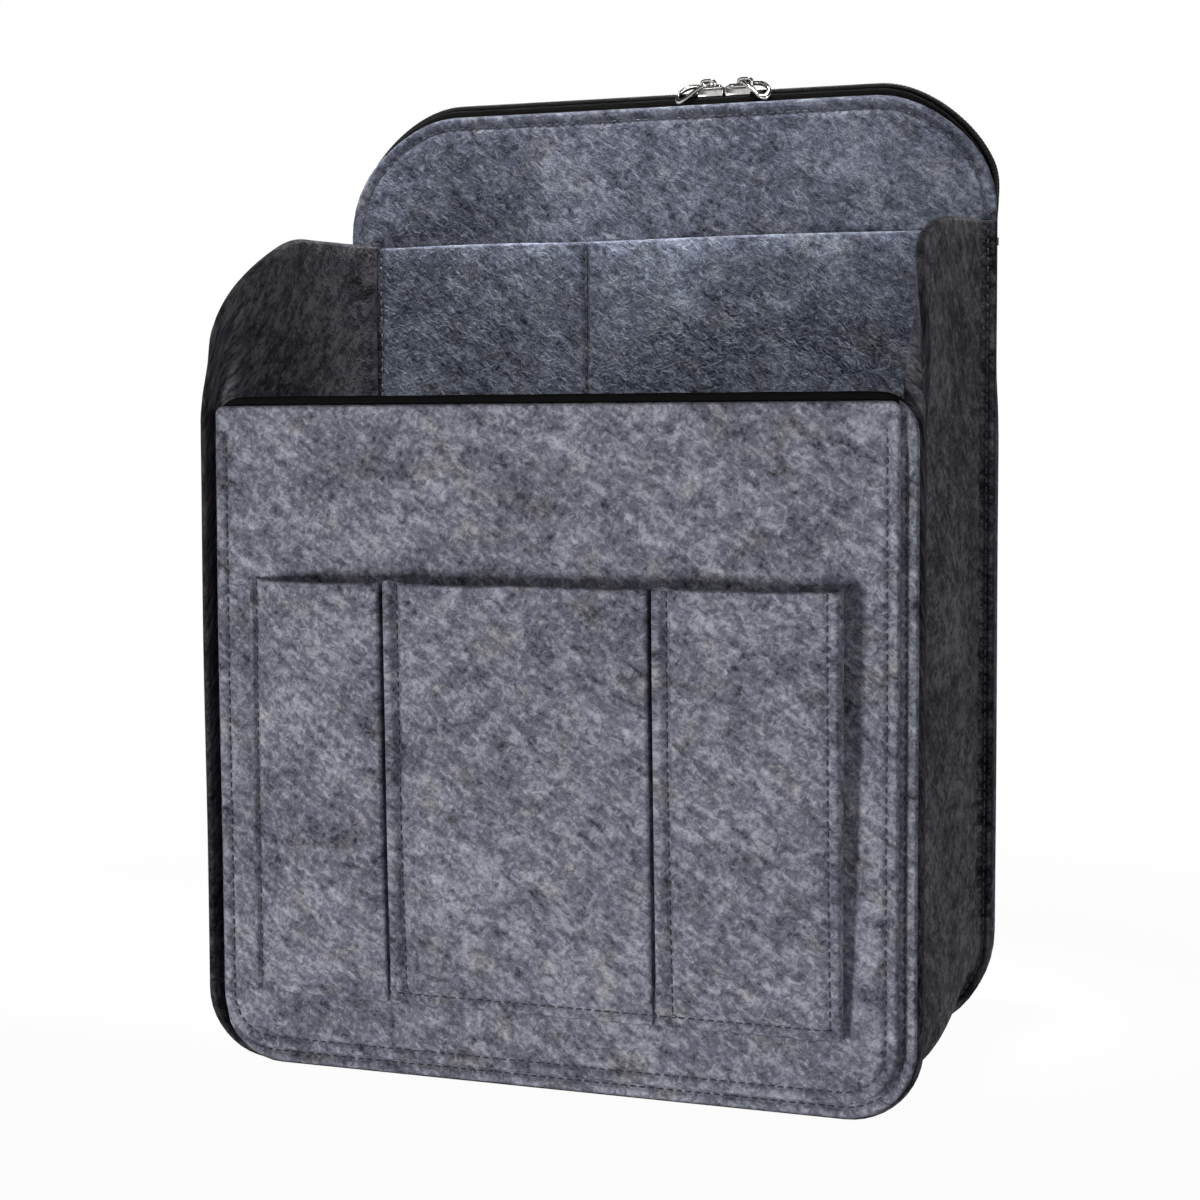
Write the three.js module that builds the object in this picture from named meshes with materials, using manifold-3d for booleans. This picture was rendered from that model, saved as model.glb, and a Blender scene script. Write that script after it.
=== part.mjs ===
// A felt organizer that slips into a backpack: three pleated pockets on the front, an open main
// compartment with a divided slip pocket, and a flat rear compartment closed by a two-way zip.
// Millimetres, +Z up, the front faces -Y, and the organizer stands on the plane Z = 0.
import * as THREE from 'three';
import { mergeVertices } from 'three/addons/utils/BufferGeometryUtils.js';
import Module from 'manifold-3d';

const wasm = await Module();
wasm.setup();

// Driving dimensions
const FELT = 3; // thickness of every felt piece
const CLEAR = 0.3; // gap between pieces that lie on each other
const RIM_WIDTH = 253; // over the sewn rims at the front and the back
const BODY_DEPTH = 119; // from the front panel's face to the back panel's face
const FRONT_HEIGHT = 228.9; // top of the front panel
const WALL_RISE = 61; // side walls above the front panel
const BACK_RISE = 48.7; // back panel above the side walls
const FRONT_CORNER = 25; // rounding of the front rim's lower corners
const BACK_CORNER = 44; // rounding of the back panel's four corners
const FLANGE = 5.5; // seam allowance of the side gusset, folded outwards
const FACING_MARGIN = 6.5; // rim that shows around the front panel
const FACING_TOP_CORNER = 3;
const FRONT_WALL_RISE = 2; // front wall above the front panel
const FRONT_WALL_TOP_CORNER = 10;
const WALL_CORNER_DEPTH = 60; // rounding of the side walls' top front corners, along the depth
const WALL_CORNER_HEIGHT = 38; // the same rounding, along the height
const FOLD_RELAX = 39; // height over which the folded flange opens again above the front rim
const OPEN_FOLD = THREE.MathUtils.degToRad(15); // what is left of the fold at the wall's top
const WALL_LEAN = 4.5; // how far the side walls' top front corners lean inwards

const BINDING = 0.8; // thickness of the tape around the front wall's top edge
const BINDING_HANG = 9; // how far it reaches down the inner face
const BINDING_END = 11; // from the rim's side to the end of the tape

const POCKET_BOTTOM = 27.5;
const POCKET_DROP = 59; // pocket tops below the front panel's top
const POCKET_SIDE_LEFT = 14; // from the front panel's left edge to the pocket strip
const POCKET_SIDE_RIGHT = 17; // from the front panel's right edge to the pocket strip
const POCKET_LEFT_WIDTH = 50; // left pocket, from the strip's end to its pleat
const POCKET_RIGHT_WIDTH = 60; // right pocket, from its pleat to the strip's end
const PLEAT = 4.4; // from fold to fold where two pockets meet
const POCKET_HEM = 5; // flat edge of the strip on the left
const POCKET_STANDOFF = 6; // room inside the pockets at the top
const POCKET_FOOT = 0.8; // room left at the bottom seam

const SLIP_BOTTOM = 100; // lower edge of the slip pocket inside
const SLIP_SIDE = 5; // from the side wall to the slip pocket
const SLIP_SEAM = 85.3; // from the slip pocket's left edge to its dividing seam
const SLIP_SLACK = 5.5; // how far each slip pocket bows out at the top

const COMPARTMENT = 10.7; // room in the rear compartment
const REAR_RAMP = 38; // width of the slope from the sewn edge to the flat back
const REAR_OPENING = 45; // height over which the sewn sides open below the zip

const TAPE = 0.9; // thickness of the zip tapes
const TAPE_SEWN = 8; // width of tape sewn behind a panel's edge
const ZIP_SIDE_RUN = 10; // straight zip below each top corner
const ZIP_SIDE_SINK = 4; // how much lower the zip sits at the sides than at the top
const SHELF_RISE = 1.9; // underside of the flat tape above the panel's edge
const CHAIN_HEIGHT = 2.4;
const CHAIN_WIDTH = 1.9; // of one half of the chain
const CHAIN_GAP = 1.4; // between the two halves
const STOP_LENGTH = 3;
const TAB_INSET = 4; // from the panels' edges to the tabs that close their sides below the zip

const SLIDER_LENGTH = 10;
const SLIDER_PLATE = 1;
const SLIDER_LIP = 0.95; // thickness of the slider's side lips
const SLIDER_TAPER = 0.8; // how much narrower each side is at the tail
const POST_WIDTH = 0.8;
const POST_LENGTH = 2.6;
const BAIL_THICKNESS = 0.9;
const BAIL_WIDTH = 1.2;
const BAIL_WINDOW = 2.4; // clear height under the bail
const BAIL_SPAN = 6.4; // over the bail's two legs
const MEETING_X = 24; // where the two sliders meet

const PULL_BAR = 0.9; // thickness of the pull and width of its ring
const PULL_LENGTH = 13.2;
const PULL_RADIUS = 3.1; // outer radius of the ring's two ends
const PULL_PLAY = 1.2; // between the pull's inner end and the bail's tail leg
const PULL_SPLAY = THREE.MathUtils.degToRad(30); // turn of the pulls towards the front
const PULL_DROOP = THREE.MathUtils.degToRad(8); // slope of the resting pulls

const THREAD = 0.7; // sewing thread, diameter
const THREAD_GAP = 0.15; // between a thread and the felt under it
const FACING_SEAM = 4; // seam inside the front panel's edge
const RIM_SEAM = 1.6; // seam outside the front panel's edge
const FLANGE_SEAM = 2.8; // seam inside the back panel's edge
const ZIP_SEAM = 4.5; // seam of the zip tapes inside the panels' edges
const POCKET_SEAM = 3.6; // seams beside the pockets' folds and along their foot

// Levels and half widths that follow from them
const { lerp, smoothstep } = THREE.MathUtils;
const RIM_HALF = RIM_WIDTH / 2;
const FACING_HALF = RIM_HALF - FACING_MARGIN;
const WALL_TOP = FRONT_HEIGHT + WALL_RISE;
const BACK_TOP = WALL_TOP + BACK_RISE;
const FRONT_WALL_Y = FELT + CLEAR;
const FRONT_FLANGE_Y = FRONT_WALL_Y + FELT + CLEAR + FELT / 2; // middle of the front flange
const BACK_FLANGE_Y = BODY_DEPTH - CLEAR - FELT / 2; // middle of the back flange
const BACK_FLANGE_FACE = BACK_FLANGE_Y - FELT / 2;
const FLANGE_REACH = FLANGE + FELT / 2; // from the wall's middle to the flange's edge
const WALL_MIDDLE = RIM_HALF - FLANGE_REACH;
const WALL_INSIDE = WALL_MIDDLE - FELT / 2;
const POCKET_TOP = FRONT_HEIGHT - POCKET_DROP;
const BACK_PANEL_REAR = BODY_DEPTH + FELT;
const REAR_SEAT_Y = BACK_PANEL_REAR + CLEAR;
const REAR_PANEL_Y = REAR_SEAT_Y + COMPARTMENT;
const ZIP_Y = (BACK_PANEL_REAR + REAR_PANEL_Y) / 2;
const ZIP_HALF_GAP = (REAR_PANEL_Y - BACK_PANEL_REAR) / 2;
const ZIP_START = BACK_TOP - BACK_CORNER - ZIP_SIDE_RUN;
const SHELF_TOP = SHELF_RISE + TAPE;
const CHAIN_FOOT = SHELF_TOP + CLEAR;
const CHAIN_TOP = CHAIN_FOOT + CHAIN_HEIGHT;
const CHAIN_SIDE = CHAIN_GAP / 2 + CHAIN_WIDTH;
const FRONT_REACH = CLEAR + FELT + POCKET_STANDOFF; // pockets in front of the front panel's face
const REAR_REACH = REAR_PANEL_Y + FELT; // flat back behind the front panel's face
const MIDDLE_Y = (REAR_REACH - FRONT_REACH) / 2;

const felt = new THREE.MeshStandardMaterial({ color: 0x6f7079, roughness: 0.95, metalness: 0 });
const darkFelt = new THREE.MeshStandardMaterial({ color: 0x49484b, roughness: 0.95, metalness: 0 });
const blackTape = new THREE.MeshStandardMaterial({ color: 0x171715, roughness: 0.8, metalness: 0 });
const blackNylon = new THREE.MeshStandardMaterial({ color: 0x1c1c1a, roughness: 0.45, metalness: 0 });
const nickel = new THREE.MeshStandardMaterial({ color: 0xc9cacc, roughness: 0.18, metalness: 1 });
const greyThread = new THREE.MeshStandardMaterial({ color: 0x4b4d55, roughness: 0.8, metalness: 0 });

const organizer = new THREE.Group();
organizer.position.y = -MIDDLE_Y;

function addPiece(name, geometry, material, parent = organizer) {
  const mesh = new THREE.Mesh(geometry, material);
  mesh.name = name;
  parent.add(mesh);
  return mesh;
}

// Numbers spread evenly from one value to another, both included
const steps = (from, to, count) => Array.from({ length: count + 1 }, (_, i) => lerp(from, to, i / count));

function indexedGeometry(positions, index) {
  const geometry = new THREE.BufferGeometry();
  geometry.setAttribute('position', new THREE.Float32BufferAttribute(positions, 3));
  geometry.setIndex(index);
  return geometry;
}

function signedVolume(points, index) {
  let volume = 0;
  for (let i = 0; i < index.length; i += 3) {
    const [a, b, c] = [points[index[i]], points[index[i + 1]], points[index[i + 2]]];
    volume += a.dot(b.clone().cross(c)) / 6;
  }
  return volume;
}

// A closed solid through rings of equal point counts, with its two end rings filled
function loft(rings, flatten) {
  const count = rings[0].length;
  const points = rings.flat();
  const index = [];
  for (let k = 0; k + 1 < rings.length; k += 1) {
    for (let j = 0; j < count; j += 1) {
      const a = k * count + j;
      const b = k * count + ((j + 1) % count);
      index.push(a, b, a + count, b, b + count, a + count);
    }
  }
  const closeEnd = (ring, offset, isLast) => {
    const outline = ring.map(flatten);
    const sameTurn = THREE.ShapeUtils.area(outline) > 0;
    for (const [a, b, c] of THREE.ShapeUtils.triangulateShape(outline, [])) {
      const turned = sameTurn === isLast ? [a, b, c] : [a, c, b];
      index.push(...turned.map((corner) => corner + offset));
    }
  };
  closeEnd(rings[0], 0, false);
  closeEnd(rings.at(-1), points.length - count, true);
  if (signedVolume(points, index) < 0) {
    index.reverse();
  }
  return indexedGeometry(points.flatMap((point) => point.toArray()), index);
}

// The outline of a strip of the given thickness along a path of straight runs
function stripOutline(path, thickness) {
  const sideOf = (from, to) => {
    const run = to.clone().sub(from).normalize();
    return new THREE.Vector2(-run.y, run.x);
  };
  const near = [];
  const far = [];
  path.forEach((point, i) => {
    const before = sideOf(path[Math.max(i - 1, 0)], path[Math.max(i, 1)]);
    const after = sideOf(path[Math.min(i, path.length - 2)], path[Math.min(i + 1, path.length - 1)]);
    const mitre = before.clone().add(after);
    mitre.multiplyScalar(thickness / 2 / (1 + before.dot(after)));
    near.push(point.clone().add(mitre));
    far.push(point.clone().sub(mitre));
  });
  return [...near, ...far.reverse()];
}

// Stations along an outline in the XZ plane: a point, its outward normal and a rise from 0 to 1
const station = (x, z, angle, rise = 1) => ({ x, z, nx: Math.cos(angle), nz: Math.sin(angle), rise });

function arcStations(cx, cz, radius, from, to, riseAt = () => 1) {
  return steps(0, 1, ARC_STEPS).map((t) => {
    const angle = lerp(from, to, t);
    const [x, z] = [cx + radius * Math.cos(angle), cz + radius * Math.sin(angle)];
    return station(x, z, angle, riseAt(t));
  });
}

const ARC_STEPS = 8;

// Down the left side, along the bottom and up the right side
function trayStations(half, bottom, radius, top) {
  const [left, down, right] = [Math.PI, 1.5 * Math.PI, 2 * Math.PI];
  return [
    station(-half, top, left),
    ...arcStations(radius - half, bottom + radius, radius, left, down),
    ...arcStations(half - radius, bottom + radius, radius, down, right),
    station(half, top, right),
  ];
}

// Over the top of the back panels from a start height on both sides, inset by a margin
function archStations(inset, start) {
  const [half, radius] = [RIM_HALF - CLEAR - inset, BACK_CORNER - inset];
  const [cx, cz] = [half - radius, BACK_TOP - BACK_CORNER];
  const climb = (t) => smoothstep(t, 0, 1);
  const whole = [
    station(-half, Math.min(start, cz - THREAD), Math.PI, 0),
    ...arcStations(-cx, cz, radius, Math.PI, Math.PI / 2, climb),
    ...arcStations(cx, cz, radius, Math.PI / 2, 0, (t) => climb(1 - t)),
    station(half, Math.min(start, cz - THREAD), 0, 0),
  ];
  return whole.filter(({ z }) => z >= start);
}

// Sweeps a section, given as depth and outward height, along stations in the XZ plane
function sweep(stations, section, sink = 0) {
  const rings = stations.map(({ x, z, nx, nz, rise }) => section.map(([y, out]) => {
    const height = out - sink * (1 - rise);
    return new THREE.Vector3(x + nx * height, y, z + nz * height);
  }));
  const flat = section.map(([y, out]) => new THREE.Vector2(y, out));
  return loft(rings, (_, i) => flat[i]);
}

const box2 = (y0, y1, n0, n1) => [[y0, n0], [y1, n0], [y1, n1], [y0, n1]];

const BEAD_SIDES = 5;

function beadSection(y, out = 0) {
  return Array.from({ length: BEAD_SIDES }, (_, i) => {
    const angle = (2 * Math.PI * i) / BEAD_SIDES;
    return [y + (THREAD / 2) * Math.cos(angle), out + (THREAD / 2) * Math.sin(angle)];
  });
}

// A thread that runs upwards through the given points
function risingThread(points) {
  const offsets = beadSection(0).map(([x, y]) => new THREE.Vector3(x, y, 0));
  const rings = points.map((point) => offsets.map((offset) => point.clone().add(offset)));
  return loft(rings, (point) => new THREE.Vector2(point.x, point.y));
}

const THREAD_SEAT = THREAD / 2 + THREAD_GAP; // from the felt's face to the thread's middle

// A flat piece cut to an outline in the XZ plane, from depth y backwards
function feltPlate(shape, y, thickness = FELT) {
  const options = { depth: thickness, bevelEnabled: false, curveSegments: ARC_STEPS };
  const geometry = new THREE.ExtrudeGeometry(shape, options);
  geometry.rotateX(Math.PI / 2);
  geometry.translate(0, y + thickness, 0);
  return geometry;
}

function roundedOutline(half, bottom, top, lowRadius, highRadius) {
  const shape = new THREE.Shape();
  shape.moveTo(lowRadius - half, bottom);
  shape.lineTo(half - lowRadius, bottom);
  shape.absarc(half - lowRadius, bottom + lowRadius, lowRadius, -Math.PI / 2, 0, false);
  shape.lineTo(half, top - highRadius);
  shape.absarc(half - highRadius, top - highRadius, highRadius, 0, Math.PI / 2, false);
  shape.lineTo(highRadius - half, top);
  shape.absarc(highRadius - half, top - highRadius, highRadius, Math.PI / 2, Math.PI, false);
  shape.lineTo(-half, bottom + lowRadius);
  shape.absarc(lowRadius - half, bottom + lowRadius, lowRadius, Math.PI, 1.5 * Math.PI, false);
  return shape;
}

// Front: the outer panel, the wall behind it and the tape around the wall's top edge
const facingCorner = FRONT_CORNER - FACING_MARGIN;
const facingOutline = roundedOutline(
  FACING_HALF, FACING_MARGIN, FRONT_HEIGHT, facingCorner, FACING_TOP_CORNER);
addPiece('front_panel', feltPlate(facingOutline, 0), felt);

const frontWallTop = FRONT_HEIGHT + FRONT_WALL_RISE;
const wallOutline = roundedOutline(RIM_HALF, 0, frontWallTop, FRONT_CORNER, FRONT_WALL_TOP_CORNER);
addPiece('front_wall', feltPlate(wallOutline, FRONT_WALL_Y), felt);

function frontWallBinding() {
  const [front, rear] = [FRONT_WALL_Y - CLEAR, FRONT_WALL_Y + FELT + CLEAR];
  const [underside, lip] = [frontWallTop + CLEAR, FRONT_HEIGHT + CLEAR];
  const hem = underside - BINDING_HANG;
  const top = underside + BINDING;
  const section = [
    [front - BINDING, lip], [front, lip], [front, underside], [rear, underside],
    [rear, hem], [rear + BINDING, hem], [rear + BINDING, top], [front - BINDING, top],
  ];
  const end = RIM_HALF - BINDING_END;
  return sweep([station(-end, 0, Math.PI / 2), station(end, 0, Math.PI / 2)], section);
}
addPiece('front_wall_binding', frontWallBinding(), blackTape);

// Side gusset: one strip that makes the left wall, the bottom and the right wall
function wallTopAt(y) {
  const start = FRONT_FLANGE_Y;
  const short = THREE.MathUtils.clamp(1 - (y - start) / WALL_CORNER_DEPTH, 0, 1);
  return WALL_TOP - WALL_CORNER_HEIGHT * (1 - Math.sqrt(1 - short * short));
}

const GUSSET_COLUMNS = 6;
const WALL_ROWS = 9;

// Section through a wall as depth and distance outwards, with the front flange folded by an angle
function gussetSection(fold) {
  const corner = FRONT_FLANGE_Y + FLANGE_REACH * Math.cos(fold);
  const cornerEnd = FRONT_FLANGE_Y + WALL_CORNER_DEPTH;
  const path = [
    new THREE.Vector2(FRONT_FLANGE_Y, FLANGE_REACH * Math.sin(fold)),
    ...steps(corner, cornerEnd, GUSSET_COLUMNS).map((y) => new THREE.Vector2(y, 0)),
    new THREE.Vector2(BACK_FLANGE_Y, 0),
    new THREE.Vector2(BACK_FLANGE_Y, FLANGE_REACH),
  ];
  return stripOutline(path, FELT);
}

function sideGusset() {
  const openSection = gussetSection(OPEN_FOLD);
  const bendAt = (y) => {
    const t = (y - FRONT_FLANGE_Y) / (BACK_FLANGE_Y - FRONT_FLANGE_Y);
    return lerp(FRONT_CORNER, BACK_CORNER, t) - FLANGE_REACH;
  };
  const openedAt = (z) => smoothstep(z, FRONT_HEIGHT, FRONT_HEIGHT + FOLD_RELAX);
  const foldAt = (z) => lerp(Math.PI / 2, OPEN_FOLD, openedAt(z));
  const leanAt = (y, z) => {
    const fromBack = (BACK_FLANGE_FACE - y) / (BACK_FLANGE_FACE - FRONT_FLANGE_Y);
    return WALL_LEAN * Math.max(fromBack, 0) * smoothstep(z, FRONT_HEIGHT, WALL_TOP);
  };
  const wallRing = (side, t) => {
    const frontEdge = lerp(FLANGE_REACH + bendAt(FRONT_FLANGE_Y), wallTopAt(FRONT_FLANGE_Y), t);
    return gussetSection(foldAt(frontEdge)).map(({ x: y, y: out }, j) => {
      const z = lerp(FLANGE_REACH + bendAt(y), wallTopAt(openSection[j].x), t);
      return new THREE.Vector3(side * (WALL_MIDDLE + out - leanAt(y, z)), y, z);
    });
  };
  const cornerRing = (side, angle) => gussetSection(Math.PI / 2).map(({ x: y, y: out }) => {
    const bend = bendAt(y);
    const across = WALL_MIDDLE - bend + (bend + out) * Math.cos(angle);
    return new THREE.Vector3(side * across, y, FLANGE_REACH + bend - (bend + out) * Math.sin(angle));
  });
  const half = (side) => [
    ...steps(1, 0, WALL_ROWS).slice(0, -1).map((t) => wallRing(side, t)),
    ...steps(0, Math.PI / 2, ARC_STEPS).map((angle) => cornerRing(side, angle)),
  ];
  return loft([...half(-1), ...half(1).reverse()], (_, j) => openSection[j]);
}
addPiece('side_gusset', sideGusset(), darkFelt);

// Front pockets: one strip pleated into three pockets that stand off more towards the top
const POCKET_LEFT = POCKET_SIDE_LEFT - FACING_HALF;
const POCKET_RIGHT = FACING_HALF - POCKET_SIDE_RIGHT;
const FIRST_PLEAT = POCKET_LEFT + POCKET_LEFT_WIDTH;
const SECOND_PLEAT = POCKET_RIGHT - POCKET_RIGHT_WIDTH;
const POCKET_BASE_Y = -CLEAR - FELT / 2;
const POCKET_ROWS = 7;

function pocketRoom(z) {
  const t = (z - POCKET_BOTTOM) / (POCKET_TOP - POCKET_BOTTOM);
  return lerp(POCKET_FOOT, POCKET_STANDOFF, 1 - (1 - t) ** 2);
}

const pocketFaceY = (z) => POCKET_BASE_Y - pocketRoom(z);

function frontPockets() {
  const rings = steps(POCKET_BOTTOM, POCKET_TOP, POCKET_ROWS).map((z) => {
    const face = pocketFaceY(z);
    const path = [
      [POCKET_LEFT, POCKET_BASE_Y], [POCKET_LEFT + POCKET_HEM, POCKET_BASE_Y],
      [FIRST_PLEAT, face], [FIRST_PLEAT, POCKET_BASE_Y],
      [FIRST_PLEAT + PLEAT, POCKET_BASE_Y], [FIRST_PLEAT + PLEAT, face],
      [SECOND_PLEAT - PLEAT, face], [SECOND_PLEAT - PLEAT, POCKET_BASE_Y],
      [SECOND_PLEAT, POCKET_BASE_Y], [SECOND_PLEAT, face],
      [POCKET_RIGHT - FELT / 2, face], [POCKET_RIGHT - FELT / 2, -CLEAR],
    ];
    const outline = stripOutline(path.map(([x, y]) => new THREE.Vector2(x, y)), FELT);
    return outline.map(({ x, y }) => new THREE.Vector3(x, y, z));
  });
  return loft(rings, (point) => new THREE.Vector2(point.x, point.y));
}
addPiece('front_pockets', frontPockets(), felt);

// Slip pocket on the back panel, sewn at its sides, foot and dividing seam
const SLIP_HALF = WALL_INSIDE - SLIP_SIDE;
const SLIP_SEAM_X = SLIP_SEAM - SLIP_HALF;
const SLIP_SEAT_Y = BODY_DEPTH - CLEAR - FELT / 2;
const SLIP_ROWS = 6;
const SLIP_COLUMNS = 8;

function slipPocket() {
  const across = steps(0, 1, SLIP_COLUMNS);
  const bay = (from, to, places, opened) => places.map((t) => {
    const bow = SLIP_SLACK * Math.sin(Math.PI * t) ** 2 * opened;
    return new THREE.Vector2(lerp(from, to, t), SLIP_SEAT_Y - bow);
  });
  const rings = steps(0, 1, SLIP_ROWS).map((t) => {
    const opened = Math.sin((Math.PI / 2) * t);
    const path = [
      ...bay(-SLIP_HALF, SLIP_SEAM_X, across, opened),
      ...bay(SLIP_SEAM_X, SLIP_HALF, across.slice(1), opened),
    ];
    const z = lerp(SLIP_BOTTOM, WALL_TOP, t);
    return stripOutline(path, FELT).map(({ x, y }) => new THREE.Vector3(x, y, z));
  });
  return loft(rings, (point) => new THREE.Vector2(point.x, point.y));
}
addPiece('inner_pocket', slipPocket(), felt);

// Back: the panel that faces the main compartment and the dished panel behind it
const panelHalf = RIM_HALF - CLEAR;
const backOutline = roundedOutline(panelHalf, 0, BACK_TOP, BACK_CORNER, BACK_CORNER);
addPiece('back_panel', feltPlate(backOutline, BODY_DEPTH), felt);

function panelHalfAt(z) {
  const fromEnd = Math.min(z, BACK_TOP - z, BACK_CORNER);
  return panelHalf - BACK_CORNER + Math.sqrt(BACK_CORNER ** 2 - (BACK_CORNER - fromEnd) ** 2);
}

function compartmentRoom(x, z) {
  const fromSide = smoothstep(panelHalf - Math.abs(x), 0, REAR_RAMP);
  const opened = smoothstep(z, ZIP_START - REAR_OPENING, ZIP_START);
  return COMPARTMENT * smoothstep(z, 0, REAR_RAMP) * lerp(fromSide, 1, opened);
}

const REAR_COLUMNS = 14;
const EDGE_ROWS = 6;
const SIDE_ROWS = 3;
const OPENING_ROWS = 6;

function rearPanel() {
  const corner = steps(0, Math.PI / 2, EDGE_ROWS).map((angle) => BACK_CORNER * (1 - Math.cos(angle)));
  const low = corner.slice(0, -1);
  const high = corner.map((z) => BACK_TOP - z).reverse();
  const openingFoot = ZIP_START - REAR_OPENING;
  const sewn = steps(BACK_CORNER, openingFoot, SIDE_ROWS).slice(0, -1);
  const opening = steps(openingFoot, ZIP_START, OPENING_ROWS);
  const rings = [...low, ...sewn, ...opening, ...high].map((z) => {
    const half = panelHalfAt(z);
    const xs = steps(0, Math.PI, REAR_COLUMNS).map((angle) => -half * Math.cos(angle));
    const face = xs.map((x) => new THREE.Vector3(x, REAR_SEAT_Y + compartmentRoom(x, z), z));
    const rear = face.map((point) => point.clone().setY(point.y + FELT));
    return [...face, ...rear.reverse()];
  });
  return loft(rings, (point) => new THREE.Vector2(point.x, point.y));
}
addPiece('rear_panel', rearPanel(), felt);

// Zip: a tape sewn behind each panel's edge, with one half of the chain on each tape
function tapeSection(toward) {
  const sewn = ZIP_Y + toward * (ZIP_HALF_GAP - CLEAR);
  const fold = sewn - toward * TAPE;
  const edge = ZIP_Y + toward * (CHAIN_GAP / 2);
  return [
    [sewn, -TAPE_SEWN], [fold, -TAPE_SEWN], [fold, SHELF_RISE],
    [edge, SHELF_RISE], [edge, SHELF_TOP], [sewn, SHELF_TOP],
  ];
}

function chainSection(toward) {
  return box2(ZIP_Y + toward * CHAIN_SIDE, ZIP_Y + toward * (CHAIN_GAP / 2), CHAIN_FOOT, CHAIN_TOP);
}

const zipStations = archStations(0, ZIP_START);
const chainStations = archStations(0, ZIP_START + STOP_LENGTH + CLEAR);
for (const [name, toward] of [['front', -1], ['rear', 1]]) {
  addPiece(`zip_tape_${name}`, sweep(zipStations, tapeSection(toward), ZIP_SIDE_SINK), blackTape);
  addPiece(`zip_chain_${name}`, sweep(chainStations, chainSection(toward), ZIP_SIDE_SINK), blackNylon);
}
for (const [name, side] of [['left', -1], ['right', 1]]) {
  const angle = side < 0 ? Math.PI : 0;
  const ends = [ZIP_START, ZIP_START + STOP_LENGTH].map((z) => station(side * panelHalf, z, angle, 0));
  const section = box2(ZIP_Y - CHAIN_SIDE, ZIP_Y + CHAIN_SIDE, CHAIN_FOOT, CHAIN_TOP);
  addPiece(`zip_stop_${name}`, sweep(ends, section, ZIP_SIDE_SINK), blackNylon);
}

// Tabs of tape between the panels' edges, from the zip's ends down to where the panels meet
function zipTab(side) {
  const outer = panelHalf - TAB_INSET;
  const levels = steps(ZIP_START - REAR_OPENING, ZIP_START - CLEAR, OPENING_ROWS).slice(1);
  const front = BACK_PANEL_REAR + CLEAR;
  const rings = levels.map((z) => {
    const rear = REAR_SEAT_Y + compartmentRoom(outer, z) - CLEAR;
    const corners = [[outer, front], [outer, rear], [outer - TAPE, rear], [outer - TAPE, front]];
    return corners.map(([x, y]) => new THREE.Vector3(side * x, y, z));
  });
  return loft(rings, (point) => new THREE.Vector2(point.x, point.y));
}
addPiece('zip_tab_left', zipTab(-1), blackTape);
addPiece('zip_tab_right', zipTab(1), blackTape);

// Solids for joining pieces of metal
function solidOf(geometry) {
  geometry.deleteAttribute('normal');
  geometry.deleteAttribute('uv');
  const merged = mergeVertices(geometry);
  const vertProperties = new Float32Array(merged.attributes.position.array);
  const triVerts = new Uint32Array(merged.index.array);
  return new wasm.Manifold(new wasm.Mesh({ numProp: 3, vertProperties, triVerts }));
}

function joined(geometries) {
  const mesh = geometries.map(solidOf).reduce((whole, piece) => whole.add(piece)).getMesh();
  return indexedGeometry(Array.from(mesh.vertProperties), Array.from(mesh.triVerts));
}

function block(x0, x1, y0, y1, z0, z1) {
  const geometry = new THREE.BoxGeometry(x1 - x0, y1 - y0, z1 - z0);
  geometry.translate((x0 + x1) / 2, (y0 + y1) / 2, (z0 + z1) / 2);
  return geometry;
}

// Slider, its head towards +X: two plates, side lips, the post between the chain halves and a bail
const LIP_INSIDE = CHAIN_SIDE + CLEAR;
const SLIDER_SIDE = LIP_INSIDE + SLIDER_LIP;
const TOP_PLATE = CHAIN_TOP + CLEAR;
const PLATE_TOP = TOP_PLATE + SLIDER_PLATE;
const UNDER_PLATE_TOP = SHELF_RISE - CLEAR;
const UNDER_PLATE_SIDE = ZIP_HALF_GAP - CLEAR - TAPE - CLEAR; // clear of the tapes' folds
const BAIL_UNDERSIDE = PLATE_TOP + BAIL_WINDOW;
const BAIL_TAIL = -SLIDER_LENGTH / 2; // the bail's tail leg is flush with the plate's end
const JOIN = 0.1; // overlap of the pieces that a slider is joined from

function sliderPlate(bottom, headSide) {
  const half = SLIDER_LENGTH / 2;
  const tailSide = headSide - SLIDER_TAPER;
  const shape = new THREE.Shape();
  shape.moveTo(-half, -tailSide);
  shape.lineTo(half, -headSide);
  shape.lineTo(half, headSide);
  shape.lineTo(-half, tailSide);
  const geometry = new THREE.ExtrudeGeometry(shape, { depth: SLIDER_PLATE, bevelEnabled: false });
  geometry.translate(0, 0, bottom);
  return geometry;
}

function slider() {
  const half = SLIDER_LENGTH / 2;
  const lips = [-1, 1].map((side) => {
    const [inner, outer] = [side * LIP_INSIDE, side * SLIDER_SIDE];
    return block(-half, half, Math.min(inner, outer), Math.max(inner, outer), CHAIN_FOOT, TOP_PLATE + JOIN);
  });
  const postHalf = POST_WIDTH / 2;
  const post = block(
    half - POST_LENGTH, half, -postHalf, postHalf, UNDER_PLATE_TOP - JOIN, TOP_PLATE + JOIN);
  const bailEnd = BAIL_TAIL + BAIL_SPAN;
  const bailHalf = BAIL_WIDTH / 2;
  const bailTop = BAIL_UNDERSIDE + BAIL_THICKNESS;
  const legs = [[BAIL_TAIL, BAIL_TAIL + BAIL_THICKNESS], [bailEnd - BAIL_THICKNESS, bailEnd]].map(
    ([from, to]) => block(from, to, -bailHalf, bailHalf, PLATE_TOP - JOIN, bailTop));
  const bridge = block(BAIL_TAIL, bailEnd, -bailHalf, bailHalf, BAIL_UNDERSIDE, bailTop);
  const topPlate = sliderPlate(TOP_PLATE, SLIDER_SIDE + SLIDER_TAPER);
  const underPlate = sliderPlate(UNDER_PLATE_TOP - SLIDER_PLATE, UNDER_PLATE_SIDE);
  return joined([topPlate, underPlate, ...lips, post, ...legs, bridge]);
}

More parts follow.
